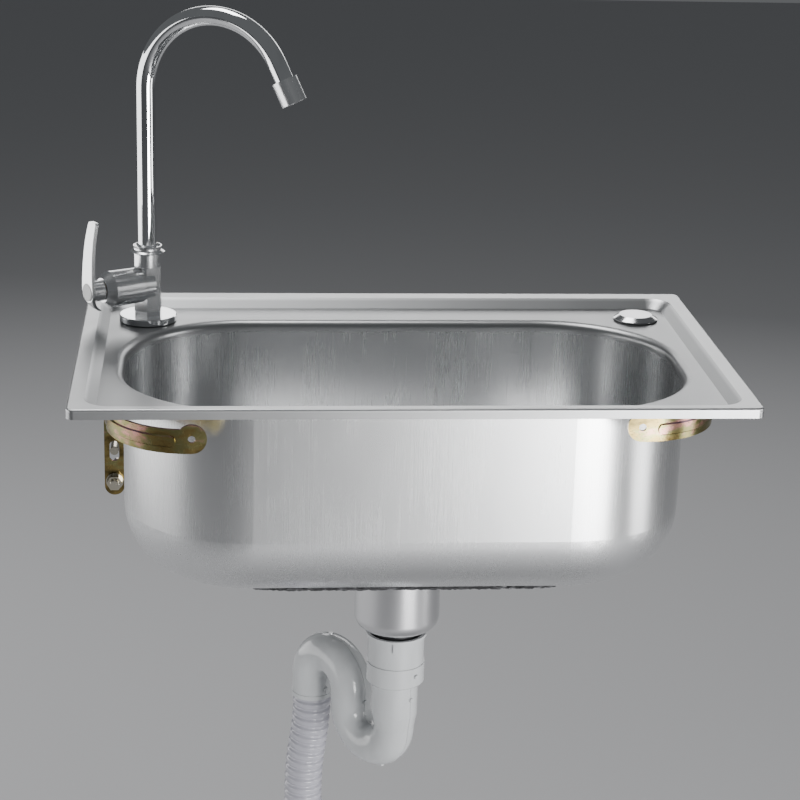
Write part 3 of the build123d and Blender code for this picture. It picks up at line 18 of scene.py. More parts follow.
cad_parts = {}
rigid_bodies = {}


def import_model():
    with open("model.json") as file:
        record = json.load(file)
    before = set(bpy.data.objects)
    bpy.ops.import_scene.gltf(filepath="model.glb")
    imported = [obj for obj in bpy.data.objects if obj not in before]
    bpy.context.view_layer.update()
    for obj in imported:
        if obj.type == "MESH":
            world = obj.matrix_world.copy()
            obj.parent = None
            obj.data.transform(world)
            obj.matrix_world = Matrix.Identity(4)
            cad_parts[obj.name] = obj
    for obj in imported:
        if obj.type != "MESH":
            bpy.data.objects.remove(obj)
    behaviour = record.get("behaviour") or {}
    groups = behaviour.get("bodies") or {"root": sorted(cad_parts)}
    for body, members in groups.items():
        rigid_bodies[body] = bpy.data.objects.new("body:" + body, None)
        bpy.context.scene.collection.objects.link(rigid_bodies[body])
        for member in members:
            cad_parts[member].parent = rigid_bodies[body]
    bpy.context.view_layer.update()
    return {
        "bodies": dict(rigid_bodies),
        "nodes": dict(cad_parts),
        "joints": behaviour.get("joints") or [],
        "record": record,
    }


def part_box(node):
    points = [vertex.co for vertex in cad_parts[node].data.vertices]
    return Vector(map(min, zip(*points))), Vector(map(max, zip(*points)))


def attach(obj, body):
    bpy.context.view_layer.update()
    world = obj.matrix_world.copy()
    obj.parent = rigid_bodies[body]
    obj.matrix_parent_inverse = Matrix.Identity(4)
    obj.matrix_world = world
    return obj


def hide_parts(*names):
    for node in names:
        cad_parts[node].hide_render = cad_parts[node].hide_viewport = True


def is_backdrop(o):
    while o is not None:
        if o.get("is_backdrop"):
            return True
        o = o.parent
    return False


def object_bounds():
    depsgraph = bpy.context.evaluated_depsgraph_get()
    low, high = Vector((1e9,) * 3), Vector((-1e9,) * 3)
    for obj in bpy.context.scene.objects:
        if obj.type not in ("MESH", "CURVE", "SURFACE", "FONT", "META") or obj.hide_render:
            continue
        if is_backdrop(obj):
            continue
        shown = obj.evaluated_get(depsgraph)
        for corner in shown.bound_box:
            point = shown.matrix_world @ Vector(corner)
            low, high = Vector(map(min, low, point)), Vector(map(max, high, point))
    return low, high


LOG = logging.getLogger("sink")
MM = 0.001
Colour = tuple[float, float, float]
Point = tuple[float, float, float]
Pair = tuple[float, float]
Lay = tuple[Point, Point]
Vectors = Sequence[Vector]

NOISE_ROUGHNESS = 0.55
RIB_FLANK: Pair = (0.40, 0.86)
THREAD_STEPS = 26
THREAD_SIDES = 6
NUB_SIDES = 20
SEAM_SIDES = 8
ARC_STEPS = 24


class Signal:
    """A number socket of a node tree that takes part in Python arithmetic."""

    def __init__(self, recipe: "Recipe", socket: bpy.types.NodeSocket) -> None:
        """Keeps the recipe that owns the socket.

        Args:
            recipe: The tree that the maths nodes go into.
            socket: The output socket that holds the number.
        """
        self.recipe = recipe
        self.socket = socket

    def maths(self, operation: str, *values: Any) -> "Signal":
        """Adds one Math node.

        Args:
            operation: The node's operation.
            values: The node's inputs, numbers or signals.

        Returns:
            The node's result.
        """
        return self.recipe.add("ShaderNodeMath", {"operation": operation}, dict(enumerate(values)))

    def __add__(self, other: Any) -> "Signal":
        """Sum."""
        return self.maths("ADD", self, other)

    __radd__ = __add__

    def __sub__(self, other: Any) -> "Signal":
        """Difference."""
        return self.maths("SUBTRACT", self, other)

    def __rsub__(self, other: Any) -> "Signal":
        """Difference, from a plain number."""
        return self.maths("SUBTRACT", other, self)

    def __mul__(self, other: Any) -> "Signal":
        """Product."""
        return self.maths("MULTIPLY", self, other)

    __rmul__ = __mul__

    def steps(self, low: float, high: float, start: float = 0.0, end: float = 1.0) -> "Signal":
        """Smooth step of this number between two thresholds.

        Args:
            low: Where the step starts.
            high: Where it ends.
            start: The result below low.
            end: The result above high.

        Returns:
            The stepped number.
        """
        settings = {"interpolation_type": "SMOOTHSTEP"}
        values = {"Value": self, "From Min": low, "From Max": high, "To Min": start, "To Max": end}
        return self.recipe.add("ShaderNodeMapRange", settings, values)


class Recipe:
    """One node tree that is written as a list of nodes."""

    def __init__(self, tree: bpy.types.NodeTree) -> None:
        """Keeps the tree.

        Args:
            tree: The tree that the nodes go into.
        """
        self.tree = tree

    def add(
        self, kind: str, settings: dict | None = None, values: dict | None = None,
        out: int | str = 0,
    ) -> Signal:
        """Adds a node, with its settings first and then its inputs.

        Args:
            kind: The node's type.
            settings: Its properties, or a ramp's stops under "stops".
            values: Its inputs by name or number: plain values or signals.
            out: The output that is wanted, by number or name.

        Returns:
            The wanted output.
        """
        node = self.tree.nodes.new(kind)
        for name, value in (settings or {}).items():
            if name == "stops":
                self.set_stops(node.color_ramp, value)
            else:
                setattr(node, name, value)
        for key, value in (values or {}).items():
            self.set_input(node, key, value)
        return Signal(self, node.outputs[out])

    def set_input(self, node: bpy.types.Node, key: int | str, value: Any) -> None:
        """Sets or links one input of a node.

        Args:
            node: The node.
            key: The input's name or number.
            value: A plain value, a signal, or a list of signals for a joining input.
        """
        socket = node.inputs[key]
        if isinstance(value, list):
            for part in value:
                self.tree.links.new(part.socket, socket)
        elif isinstance(value, Signal):
            self.tree.links.new(value.socket, socket)
        elif getattr(socket, "type", "") == "RGBA" and len(value) == 3:
            socket.default_value = (*value, 1.0)
        else:
            socket.default_value = value

    @staticmethod
    def set_stops(ramp: bpy.types.ColorRamp, stops: Sequence[tuple[float, Colour]]) -> None:
        """Fills a colour ramp.

        Args:
            ramp: The ramp.
            stops: Its positions and colours, in order.
        """
        while len(ramp.elements) < len(stops):
            ramp.elements.new(1.0)
        for element, (place, colour) in zip(ramp.elements, stops):
            element.position = place
            element.color = (*colour, 1.0)


class Paint(Recipe):
    """The recipe of one material."""

    def __init__(self, name: str) -> None:
        """Makes an empty material.

        Args:
            name: The material's name.
        """
        self.material = bpy.data.materials.new(name)
        self.material.use_nodes = True
        super().__init__(self.material.node_tree)
        self.shader = self.tree.nodes["Principled BSDF"]

    def place(self, stretch: Point = (1.0, 1.0, 1.0), turn: Point = (0.0, 0.0, 0.0)) -> Signal:
        """Object coordinates, stretched and turned.

        Args:
            stretch: The scale along each axis.
            turn: The turn about each axis, in radians.

        Returns:
            The coordinates.
        """
        coordinates = self.add("ShaderNodeTexCoord", out="Object")
        values = {"Vector": coordinates, "Rotation": turn, "Scale": stretch}
        return self.add("ShaderNodeMapping", {}, values)

    def part(self, output: str, axis: int) -> Signal:
        """One part of the surface's place or direction in the object's own frame.

        Args:
            output: "Object" for the place in metres, "Normal" for the direction.
            axis: 0, 1 or 2 for X, Y or Z.

        Returns:
            The part.
        """
        coordinates = self.add("ShaderNodeTexCoord", out=output)
        return self.add("ShaderNodeSeparateXYZ", {}, {0: coordinates}, axis)

    def noise(self, scale: float, detail: float = 3.0, place: Signal | None = None) -> Signal:
        """Fractal noise on the object.

        Args:
            scale: Cells per metre.
            detail: Octaves.
            place: Coordinates other than the plain ones.

        Returns:
            The noise, from 0 to 1.
        """
        where = place or self.place()
        values = {"Vector": where, "Scale": scale, "Detail": detail, "Roughness": NOISE_ROUGHNESS}
        return self.add("ShaderNodeTexNoise", {}, values)

    def ramp(self, factor: Signal, *stops: tuple[float, Colour]) -> Signal:
        """Colour by a number.

        Args:
            factor: The number.
            stops: Positions and colours, in order.

        Returns:
            The colour.
        """
        return self.add("ShaderNodeValToRGB", {"stops": stops}, {"Fac": factor})

    def mix(self, factor: Any, first: Any, second: Any) -> Signal:
        """Mixes two colours.

        Args:
            factor: 0 for the first, 1 for the second.
            first: A colour or its signal.
            second: A colour or its signal.

        Returns:
            The mixed colour.
        """
        return self.add("ShaderNodeMix", {"data_type": "RGBA"}, {0: factor, 6: first, 7: second}, 2)

    def bump(
        self, height: Signal, depth: float, strength: float = 1.0, under: Signal | None = None,
    ) -> Signal:
        """Surface relief.

        Args:
            height: The relief, from 0 to 1.
            depth: The height of 1, in metres.
            strength: How much of it shows.
            under: A relief that this one lies on.

        Returns:
            The bent normal.
        """
        values: dict[str, Any] = {"Height": height, "Distance": depth, "Strength": strength}
        if under:
            values["Normal"] = under
        return self.add("ShaderNodeBump", {}, values)

    def dress(self, **values: Any) -> bpy.types.Material:
        """Sets the shader's inputs.

        Args:
            values: Inputs by name, with _ for a space.

        Returns:
            The material.
        """
        for name, value in values.items():
            self.set_input(self.shader, name.replace("_", " ").title().replace("Ior", "IOR"), value)
        return self.material


def dimmed(colour: Colour, share: float) -> Colour:
    """A colour at a share of its brightness.

    Args:
        colour: The full colour.
        share: The share, from 0 to 1.

    Returns:
        The dimmer colour.
    """
    return tuple(share * part for part in colour)


# In the finishes a noise is (cells per metre, octaves), a relief is (depth in metres, strength),
# a span is where a smooth step starts and ends, and a lay is (stretch, turn in radians).
@dataclass(frozen=True)
class SatinSteel:
    """Pressed stainless sheet with drawing marks on its walls and a satin grain on its flats. Its
    colour is painted by height: painted shade darkens the deck, painted light brightens the bowl
    walls and a painted highlight runs along the rim.
    """

    name: str
    # tint is the deck's colour, darkened as painted shade; wall is the bowl walls' colour,
    # lightened as painted light.
    tint: Colour = (0.41, 0.415, 0.42)
    # edge is the colour of a painted highlight along the rim's top.
    edge: Colour = (0.60, 0.605, 0.61)
    rim_highlight_heights: Pair = (0.1664, 0.1686)
    wall: Colour = (0.77, 0.775, 0.78)
    wall_heights: Pair = (0.150, 0.160)
    roughness: float = 0.36
    wall_roughness: float = 0.27
    wall_grain: Point = (1100.0, 1100.0, 9.0)
    flat_grain: Point = (9.0, 700.0, 700.0)
    flat_facing: Pair = (0.5, 0.9)
    grain_octaves: float = 4.0
    grain_relief: Pair = (0.00003, 0.12)
    grain_gloss: float = 0.06
    cloud_scale: float = 7.0
    cloud_span: Pair = (0.3, 0.72)
    flat_shade: float = 0.93
    wall_shade: float = 0.95
    wipe_noise: Pair = (24.0, 5.0)
    wipe_lay: Lay = ((1.0, 0.35, 0.6), (0.2, 0.4, 0.7))
    wipe_span: Pair = (0.2, 0.9)
    wipe_gloss: float = 0.03

    def build(self) -> bpy.types.Material:
        """Builds the material."""
        paint = Paint(self.name)
        flat = paint.part("Normal", 2).steps(*self.flat_facing)
        walls = paint.noise(1.0, self.grain_octaves, paint.place(self.wall_grain))
        flats = paint.noise(1.0, self.grain_octaves, paint.place(self.flat_grain))
        grain = walls * (1.0 - flat) + flats * flat
        patches = paint.noise(self.cloud_scale).steps(*self.cloud_span)
        wipe = paint.noise(*self.wipe_noise, paint.place(*self.wipe_lay)).steps(*self.wipe_span)
        deck = paint.part("Object", 2).steps(*self.wall_heights)
        # Painted shade on the deck and painted light on the walls, split by height; the random
        # patches are the steel's own tone.
        shaded_deck_tint = paint.mix(patches, self.tint, dimmed(self.tint, self.flat_shade))
        lit_wall_tint = paint.mix(patches, self.wall, dimmed(self.wall, self.wall_shade))
        lit_walls_shaded_deck = paint.mix(deck, lit_wall_tint, shaded_deck_tint)
        # A painted highlight: a lighter colour in a thin band along the rim's top.
        rim = paint.part("Object", 2).steps(*self.rim_highlight_heights)
        even = self.wall_roughness + (self.roughness - self.wall_roughness) * deck
        return paint.dress(
            base_color=paint.mix(rim, lit_walls_shaded_deck, self.edge),
            metallic=1.0,
            roughness=even + self.grain_gloss * (grain - 0.5) + self.wipe_gloss * (wipe - 0.5),
            normal=paint.bump(grain, *self.grain_relief),
        )


@dataclass(frozen=True)
class BrightChrome:
    """Mirror plating with fine pits and smears."""

    name: str
    tint: Colour = (0.86, 0.87, 0.88)
    roughness: float = 0.045
    smear_noise: Pair = (70.0, 5.0)
    smear_stretch: Point = (1.0, 1.0, 0.4)
    smear_span: Pair = (0.4, 0.8)
    smear_shade: float = 0.9
    dull_span: Pair = (0.5, 0.9)
    dull_gloss: float = 0.05
    pit_scale: float = 900.0
    pit_relief: Pair = (0.00001, 0.3)

    def build(self) -> bpy.types.Material:
        """Builds the material."""
        paint = Paint(self.name)
        smear = paint.noise(*self.smear_noise, paint.place(self.smear_stretch))
        pits = paint.noise(self.pit_scale)
        dull = dimmed(self.tint, self.smear_shade)
        return paint.dress(
            base_color=paint.mix(smear.steps(*self.smear_span), self.tint, dull),
            metallic=1.0,
            roughness=self.roughness + self.dull_gloss * smear.steps(*self.dull_span),
            normal=paint.bump(pits, *self.pit_relief),
        )


@dataclass(frozen=True)
class YellowZinc:
    """Yellow-chromate zinc plating: gold and olive with rose and violet tints, and a painted sheen
    that turns upward faces pinker and lighter and downward faces darker.
    """

    name: str
    rose: float = 1.0
    roughness: float = 0.24
    pale: float = 0.0
    flow_scale: float = 26.0
    flow_stretch: Point = (1.0, 1.0, 2.4)
    mottle_noise: Pair = (160.0, 4.0)
    mottle_share: float = 0.22
    upward_sheen_share: float = 0.18
    mottle_gloss: float = 0.16
    mottle_relief: Pair = (0.00012, 0.35)
    speck_noise: Pair = (700.0, 2.0)
    speck_span: Pair = (0.62, 0.72)
    speck_share: float = 0.35
    speck_gloss: float = 0.12
    speck_tint: Colour = (0.12, 0.09, 0.04)
    bleach: Colour = (0.66, 0.63, 0.54)

    def build(self) -> bpy.types.Material:
        """Builds the material."""
        paint = Paint(self.name)
        flow = paint.noise(self.flow_scale, place=paint.place(self.flow_stretch))
        mottle = paint.noise(*self.mottle_noise)
        # Painted sheen: upward faces move up the ramp to pinker, lighter plating and downward faces
        # to darker; the flow and mottle are the plating's own tone.
        upward_sheen = paint.part("Normal", 2)
        film_and_sheen = flow + self.mottle_share * (mottle - 0.5) + self.upward_sheen_share * upward_sheen
        plating = paint.ramp(
            film_and_sheen,
            (0.18, (0.05, 0.037, 0.015)),
            (0.34, (0.13, 0.10, 0.04)),
            (0.46, (0.29, 0.215, 0.08)),
            (0.56, (0.26, 0.25, 0.11)),
            (0.66, (0.52, 0.27 + 0.1 * (1 - self.rose), 0.22)),
            (0.80, (0.42, 0.25, 0.29)),
        )
        speck = paint.noise(*self.speck_noise).steps(*self.speck_span)
        bleached = paint.mix(self.pale, plating, self.bleach)
        uneven = self.roughness + self.mottle_gloss * (mottle - 0.5)
        return paint.dress(
            base_color=paint.mix(speck * self.speck_share, bleached, self.speck_tint),
            metallic=1.0,
            roughness=uneven + self.speck_gloss * speck,
            normal=paint.bump(mottle, *self.mottle_relief),
        )


@dataclass(frozen=True)
class PlainMetal:
    """Machined metal: brass or bright zinc, with turning marks."""

    name: str
    tint: Colour
    roughness: float = 0.3
    mark_stretch: Point = (60.0, 60.0, 2600.0)
    mark_gloss: float = 0.16
    mark_relief: Pair = (0.00004, 0.4)
    spot_noise: Pair = (210.0, 4.0)
    spot_span: Pair = (0.5, 0.75)
    spot_shade: float = 0.6

    def build(self) -> bpy.types.Material:
        """Builds the material."""
        paint = Paint(self.name)
        marks = paint.noise(1.0, place=paint.place(self.mark_stretch))
        spots = paint.noise(*self.spot_noise)
        dull = dimmed(self.tint, self.spot_shade)
        return paint.dress(
            base_color=paint.mix(spots.steps(*self.spot_span), self.tint, dull),
            metallic=1.0,
            roughness=self.roughness + self.mark_gloss * (marks - 0.5),
            normal=paint.bump(marks, *self.mark_relief),
        )


@dataclass(frozen=True)
class MouldedPlastic:
    """Moulded plastic with flow streaks, faint dimples and dust in its low gloss."""

    name: str
    tint: Colour
    roughness: float = 0.3
    coat: float = 0.3
    coat_roughness: float = 0.12
    flow_scale: float = 30.0
    flow_stretch: Point = (1.0, 1.0, 0.3)
    flow_span: Pair = (0.3, 0.75)
    flow_shade: float = 0.84
    flow_relief: Pair = (0.0006, 0.08)
    dust_noise: Pair = (420.0, 4.0)
    dust_span: Pair = (0.6, 0.8)
    dust_share: float = 0.25
    dust_gloss: float = 0.14
    dust_relief: Pair = (0.00006, 0.3)
    dust_tint: Pair = (0.7, 0.2)

    def build(self) -> bpy.types.Material:
        """Builds the material."""
        paint = Paint(self.name)
        flow = paint.noise(self.flow_scale, place=paint.place(self.flow_stretch))
        dust = paint.noise(*self.dust_noise)
        kept, added = self.dust_tint
        dusty = tuple(kept * part + added for part in self.tint)
        dark = dimmed(self.tint, self.flow_shade)
        base = paint.mix(flow.steps(*self.flow_span), self.tint, dark)
        waves = paint.bump(flow, *self.flow_relief)
        return paint.dress(
            base_color=paint.mix(dust.steps(*self.dust_span) * self.dust_share, base, dusty),
            roughness=self.roughness + self.dust_gloss * (dust - 0.5),
            coat_weight=self.coat,
            coat_roughness=self.coat_roughness,
            normal=paint.bump(dust, *self.dust_relief, waves),
        )


@dataclass(frozen=True)
class Rubber:
    """Matt black rubber with bloom."""

    name: str
    tint: Colour = (0.022, 0.022, 0.024)
    bloom_tint: Colour = (0.07, 0.07, 0.075)
    bloom_noise: Pair = (120.0, 4.0)
    bloom_span: Pair = (0.45, 0.8)
    bloom_gloss: float = 0.2
    roughness: float = 0.62
    skin_noise: Pair = (1400.0, 2.0)
    skin_relief: Pair = (0.00008, 0.5)

    def build(self) -> bpy.types.Material:
        """Builds the material."""
        paint = Paint(self.name)
        bloom = paint.noise(*self.bloom_noise)
        skin = paint.noise(*self.skin_noise)
        return paint.dress(
            base_color=paint.mix(bloom.steps(*self.bloom_span), self.tint, self.bloom_tint),
            roughness=self.roughness + self.bloom_gloss * (bloom - 0.5),
            normal=paint.bump(skin, *self.skin_relief),
        )


@dataclass(frozen=True)
class SoundCoat:
    """Dark sprayed coat: rough, with grey fluff caught in it."""

    name: str
    roughness: float = 0.8
    clump_noise: Pair = (150.0, 5.0)
    clump_relief: Pair = (0.0012, 0.8)
    fibre_noise: Pair = (900.0, 3.0)
    fibre_lay: Lay = ((1.0, 0.4, 1.0), (0.0, 0.0, 0.6))
    fibre_share: float = 0.3
    fibre_gloss: float = 0.2
    fibre_relief: Pair = (0.0003, 0.6)

    def build(self) -> bpy.types.Material:
        """Builds the material."""
        paint = Paint(self.name)
        clumps = paint.noise(*self.clump_noise)
        fibres = paint.noise(*self.fibre_noise, paint.place(*self.fibre_lay))
        base = paint.ramp(
            clumps + self.fibre_share * (fibres - 0.5),
            (0.3, (0.012, 0.012, 0.013)),
            (0.55, (0.045, 0.045, 0.048)),
            (0.78, (0.22, 0.22, 0.23)),
        )
        fluff = paint.bump(fibres, *self.fibre_relief)
        return paint.dress(
            base_color=base,
            roughness=self.roughness + self.fibre_gloss * (fibres - 0.5),
            normal=paint.bump(clumps, *self.clump_relief, fluff),
        )


POLISHED_TINT: Colour = (0.74, 0.74, 0.75)


class Finish(Enum):
    """The finishes of the sink."""

    SATIN = SatinSteel("satin_steel")
    POLISHED = SatinSteel(
        "polished_steel", tint=POLISHED_TINT, edge=POLISHED_TINT, wall=POLISHED_TINT,
        wall_roughness=0.16,
    )
    CHROME = BrightChrome("tap_chrome")
    CAP = BrightChrome("cap_chrome", tint=(0.60, 0.60, 0.61), roughness=0.16)
    VALVE = BrightChrome("valve_chrome", tint=(0.86, 0.865, 0.87), roughness=0.22)
    NUTS = YellowZinc("nut_zinc", rose=0.2, roughness=0.2, pale=0.75)
    PLATING = YellowZinc("yellow_zinc")
    ANCHOR = YellowZinc("anchor_zinc", rose=0.2, roughness=0.3)
    ZINC = PlainMetal("bright_zinc", (0.66, 0.67, 0.69), roughness=0.28)
    BRASS = PlainMetal("raw_brass", (0.72, 0.52, 0.24))
    TRAP = MouldedPlastic("trap_plastic", (0.58, 0.595, 0.605), roughness=0.22, coat=0.5)
    HOSE = MouldedPlastic("hose_plastic", (0.47, 0.465, 0.52), roughness=0.22, coat=0.5)
    WHITE = MouldedPlastic("white_plastic", (0.80, 0.80, 0.79), roughness=0.35, coat=0.2)
    CERAMIC = MouldedPlastic("white_ceramic", (0.86, 0.85, 0.82), roughness=0.2, coat=0.6)
    NECK = MouldedPlastic("dark_plastic", (0.03, 0.03, 0.033), roughness=0.4, coat=0.2)
    KNOB = MouldedPlastic("black_knob", (0.02, 0.02, 0.022), roughness=0.25, coat=0.5)
    SCREEN = MouldedPlastic("grey_screen", (0.20, 0.20, 0.21), roughness=0.4, coat=0.1)
    RUBBER = Rubber("black_rubber")
    COAT = SoundCoat("sound_coat")


WEARERS = {
    Finish.SATIN: ("sink_bowl",),
    Finish.POLISHED: (
        "drain_cup", "drain_flange", "drain_bridge", "drain_screw", "strainer_basket",
    ),
    Finish.CHROME: ("tap_flange", "spout_tube"),
    Finish.VALVE: ("tap_body", "spout_nut", "nozzle_shell", "valve_bonnet", "lever_handle"),
    Finish.NUTS: ("wall_washers", "wall_nuts", "wall_studs"),
    Finish.CAP: ("hole_cover_cap",),
    Finish.PLATING: ("bracket_left", "bracket_right"),
    Finish.ANCHOR: ("wall_clips",),
    Finish.ZINC: ("hole_cover_stud", "tap_lock_washer", "handle_screw"),
    Finish.BRASS: (
        "tap_lock_nut", "spout_sleeve", "spout_end_ring", "valve_spindle", "cartridge_body",
    ),
    Finish.TRAP: ("coupling_nut", "trap_body", "hose_adapter", "hose_spigot"),
    Finish.HOSE: ("drain_hose",),
    Finish.WHITE: (
        "hole_cover_clamp", "hole_cover_nut", "spout_bush", "aerator_insert", "index_button",
    ),
    Finish.CERAMIC: ("fixed_disc", "moving_disc"),
    Finish.NECK: ("outlet_neck",),
    Finish.KNOB: ("basket_knob",),
    Finish.SCREEN: ("aerator_screen",),
    Finish.RUBBER: (
        "hole_cover_seal", "drain_gasket_upper", "drain_gasket_lower", "basket_seal",
        "coupling_washer", "floor_seal", "tap_flange_seal", "spout_o_rings", "aerator_washer",
        "cartridge_seat", "spindle_o_ring",
    ),
    Finish.COAT: ("undercoat",),
}


class Wardrobe:
    """All the finishes, built once."""

    def __init__(self) -> None:
        """Builds every finish."""
        self.materials = {finish: finish.value.build() for finish in Finish}

    def __getitem__(self, finish: Finish) -> bpy.types.Material:
        """The material of a finish."""
        return self.materials[finish]

    def dress_nodes(self, nodes: dict[str, bpy.types.Object]) -> None:
        """Gives every part of the frame its finish.

        Args:
            nodes: The frame's parts by name.
        """
        for finish, names in WEARERS.items():
            for name in names:
                mesh = nodes[name].data
                mesh.materials.clear()
                mesh.materials.append(self[finish])


class Former(Recipe):
    """The recipe of one geometry tree with named sizes."""

    def __init__(self, name: str) -> None:
        """Makes an empty tree with a geometry input and output.

        Args:
            name: The tree's name.
        """
        super().__init__(bpy.data.node_groups.new(name, "GeometryNodeTree"))
        self.tree.interface.new_socket("Shape", in_out="INPUT", socket_type="NodeSocketGeometry")
        self.tree.interface.new_socket("Shape", in_out="OUTPUT", socket_type="NodeSocketGeometry")
        self.entry = self.tree.nodes.new("NodeGroupInput")
        self.shape = Signal(self, self.entry.outputs[0])

    def size(self, name: str, kind: str = "NodeSocketFloat") -> Signal:
        """Adds a named size.

        Args:
            name: The size's name.
            kind: The socket's type.

        Returns:
            The size.
        """
        self.tree.interface.new_socket(name, in_out="INPUT", socket_type=kind)
        return Signal(self, self.entry.outputs[name])

    def close(self, shape: Signal, smooth: bool = True) -> "Former":
        """Ends the tree with real meshes that wear the material input.

        Args:
            shape: The finished geometry.
            smooth: Whether its faces are shaded smooth.

        Returns:
            This recipe.
        """
        real = self.add("GeometryNodeRealizeInstances", {}, {0: shape})
        shading = {"Geometry": real, "Shade Smooth": smooth}
        shaded = self.add("GeometryNodeSetShadeSmooth", {}, shading)
        finish = self.size("Finish", "NodeSocketMaterial")
        dressed = self.add("GeometryNodeSetMaterial", {}, {"Geometry": shaded, "Material": finish})
        leave = self.tree.nodes.new("NodeGroupOutput")
        self.tree.links.new(dressed.socket, leave.inputs[0])
        return self

    def set_out(self, piece: Signal, axis: str) -> "Former":
        """Ends the tree with a copy of a piece on each point, along the point's own direction.

        Args:
            piece: The piece.
            axis: The piece's axis that takes the direction.

        Returns:
            This recipe.
        """
        named = {"data_type": "FLOAT_VECTOR"}
        facing = self.add("GeometryNodeInputNamedAttribute", named, {"Name": "facing"})
        turn = self.add("FunctionNodeAlignRotationToVector", {"axis": axis}, {"Vector": facing})
        set_up = {"Points": self.shape, "Instance": piece, "Rotation": turn}
        return self.close(self.add("GeometryNodeInstanceOnPoints", {}, set_up), smooth=False)

    def form(self, name: str, base: bpy.types.Mesh, **sizes: Any) -> bpy.types.Object:
        """Runs the tree on a mesh and returns the result as a plain mesh.

        Args:
            name: The new piece's name.
            base: The mesh that goes in.
            sizes: The named sizes, with _ for a space.

        Returns:
            The piece, at the origin and unturned.
        """
        source = bpy.data.objects.new(name + "_source", base)
        bpy.context.scene.collection.objects.link(source)
        modifier = source.modifiers.new("form", "NODES")
        modifier.node_group = self.tree
        wanted = {key.replace("_", " ").lower(): value for key, value in sizes.items()}
        for item in self.tree.interface.items_tree:
            if item.in_out == "INPUT" and item.name.lower() in wanted:
                modifier[item.identifier] = wanted[item.name.lower()]
        bpy.context.view_layer.update()
        evaluated = source.evaluated_get(bpy.context.evaluated_depsgraph_get())
        mesh = bpy.data.meshes.new_from_object(evaluated)
        bpy.data.objects.remove(source)
        mesh.name = name
        piece = bpy.data.objects.new(name, mesh)
        bpy.context.scene.collection.objects.link(piece)
        return piece


def line_mesh(name: str, points: Vectors) -> bpy.types.Mesh:
    """A mesh of points joined in a row.

    Args:
        name: The mesh's name.
        points: The points, in metres.

    Returns:
        The mesh.
    """
    places = [tuple(point) for point in points]
    edges = [(number, number + 1) for number in range(len(places) - 1)]
    mesh = bpy.data.meshes.new(name)
    mesh.from_pydata(places, edges, [])
    return mesh


def path_former() -> Former:
    """The tree that lays an even ridge of round section along a line."""
    former = Former("ridge_along_line")
    radius = former.size("Radius")
    sides = former.size("Sides", "NodeSocketInt")
    curve = former.add("GeometryNodeMeshToCurve", {}, {"Mesh": former.shape})
    circle = {"Resolution": sides, "Radius": radius}
    ring = former.add("GeometryNodeCurvePrimitiveCircle", {}, circle)
    sweep = {"Curve": curve, "Profile Curve": ring, "Fill Caps": True}
    ridge = former.add("GeometryNodeCurveToMesh", {}, sweep)
    return former.close(ridge)


def hose_former() -> Former:
    """The tree that makes a ribbed hose with a smooth bore along a line."""
    former = Former("ribbed_hose")
    names = ("Root", "Crest", "Bore", "Pitch", "Cuff", "Step", "Length")
    root, crest, bore, pitch, cuff, step, length = (former.size(name) for name in names)
    sides = former.size("Sides", "NodeSocketInt")
    curve = former.add("GeometryNodeMeshToCurve", {}, {"Mesh": former.shape})
    spacing = {"Curve": curve, "Length": step}
    fine = former.add("GeometryNodeResampleCurve", {"mode": "LENGTH"}, spacing)
    along = former.add("GeometryNodeSplineParameter", out="Length")
    beat = (along - cuff).maths("DIVIDE", along - cuff, pitch)
    swing = beat.maths("FRACT", beat) - 0.5
    away = swing.maths("ABSOLUTE", swing) * 2.0
    rib = away.steps(*RIB_FLANK, 1.0, 0.0)
    start = along.maths("GREATER_THAN", along, cuff)
    end = along.maths("LESS_THAN", along, length - cuff)
    radius = root + (crest - root) * rib * start * end
    ring = former.add("GeometryNodeCurvePrimitiveCircle", {}, {"Resolution": sides, "Radius": 1.0})
    profile = {"Curve": fine, "Profile Curve": ring}
    outside = former.add("GeometryNodeCurveToMesh", {}, {**profile, "Scale": radius})
    inside = former.add("GeometryNodeCurveToMesh", {}, {**profile, "Scale": bore})
    turned = former.add("GeometryNodeFlipFaces", {}, {"Mesh": inside})
    return former.close(former.add("GeometryNodeJoinGeometry", {}, {0: [outside, turned]}))


def thread_former() -> Former:
    """The tree that winds a screw thread upwards from each point, turned with one rotation."""
    former = Former("screw_threads")
    names = ("Radius", "Depth", "Turns", "Rise")
    radius, depth, turns, rise = (former.size(name) for name in names)
    turn = former.size("Turn", "NodeSocketRotation")
    spiral = {
        "Resolution": THREAD_STEPS, "Rotations": turns, "Start Radius": radius,
        "End Radius": radius, "Height": rise,
    }
    line = former.add("GeometryNodeCurveSpiral", {}, spiral)
    circle = {"Resolution": THREAD_SIDES, "Radius": depth}
    ring = former.add("GeometryNodeCurvePrimitiveCircle", {}, circle)
    sweep = {"Curve": line, "Profile Curve": ring, "Fill Caps": True}
    ridge = former.add("GeometryNodeCurveToMesh", {}, sweep)
    set_up = {"Points": former.shape, "Instance": ridge, "Rotation": turn}
    return former.close(former.add("GeometryNodeInstanceOnPoints", {}, set_up))


def nub_former() -> Former:
    """The tree that sets a small moulded nub on each point."""
    former = Former("moulded_nubs")
    foot, top, height = (former.size(name) for name in ("Foot", "Top", "Height"))
    cone = {"Vertices": NUB_SIDES, "Radius Bottom": foot, "Radius Top": top, "Depth": height}
    return former.set_out(former.add("GeometryNodeMeshCone", {}, cone), "Z")


def rib_former() -> Former:
    """The tree that sets a small upright rib on each point."""
    former = Former("moulded_ribs")
    size = former.size("Block", "NodeSocketVector")
    return former.set_out(former.add("GeometryNodeMeshCube", {}, {"Size": size}), "X")


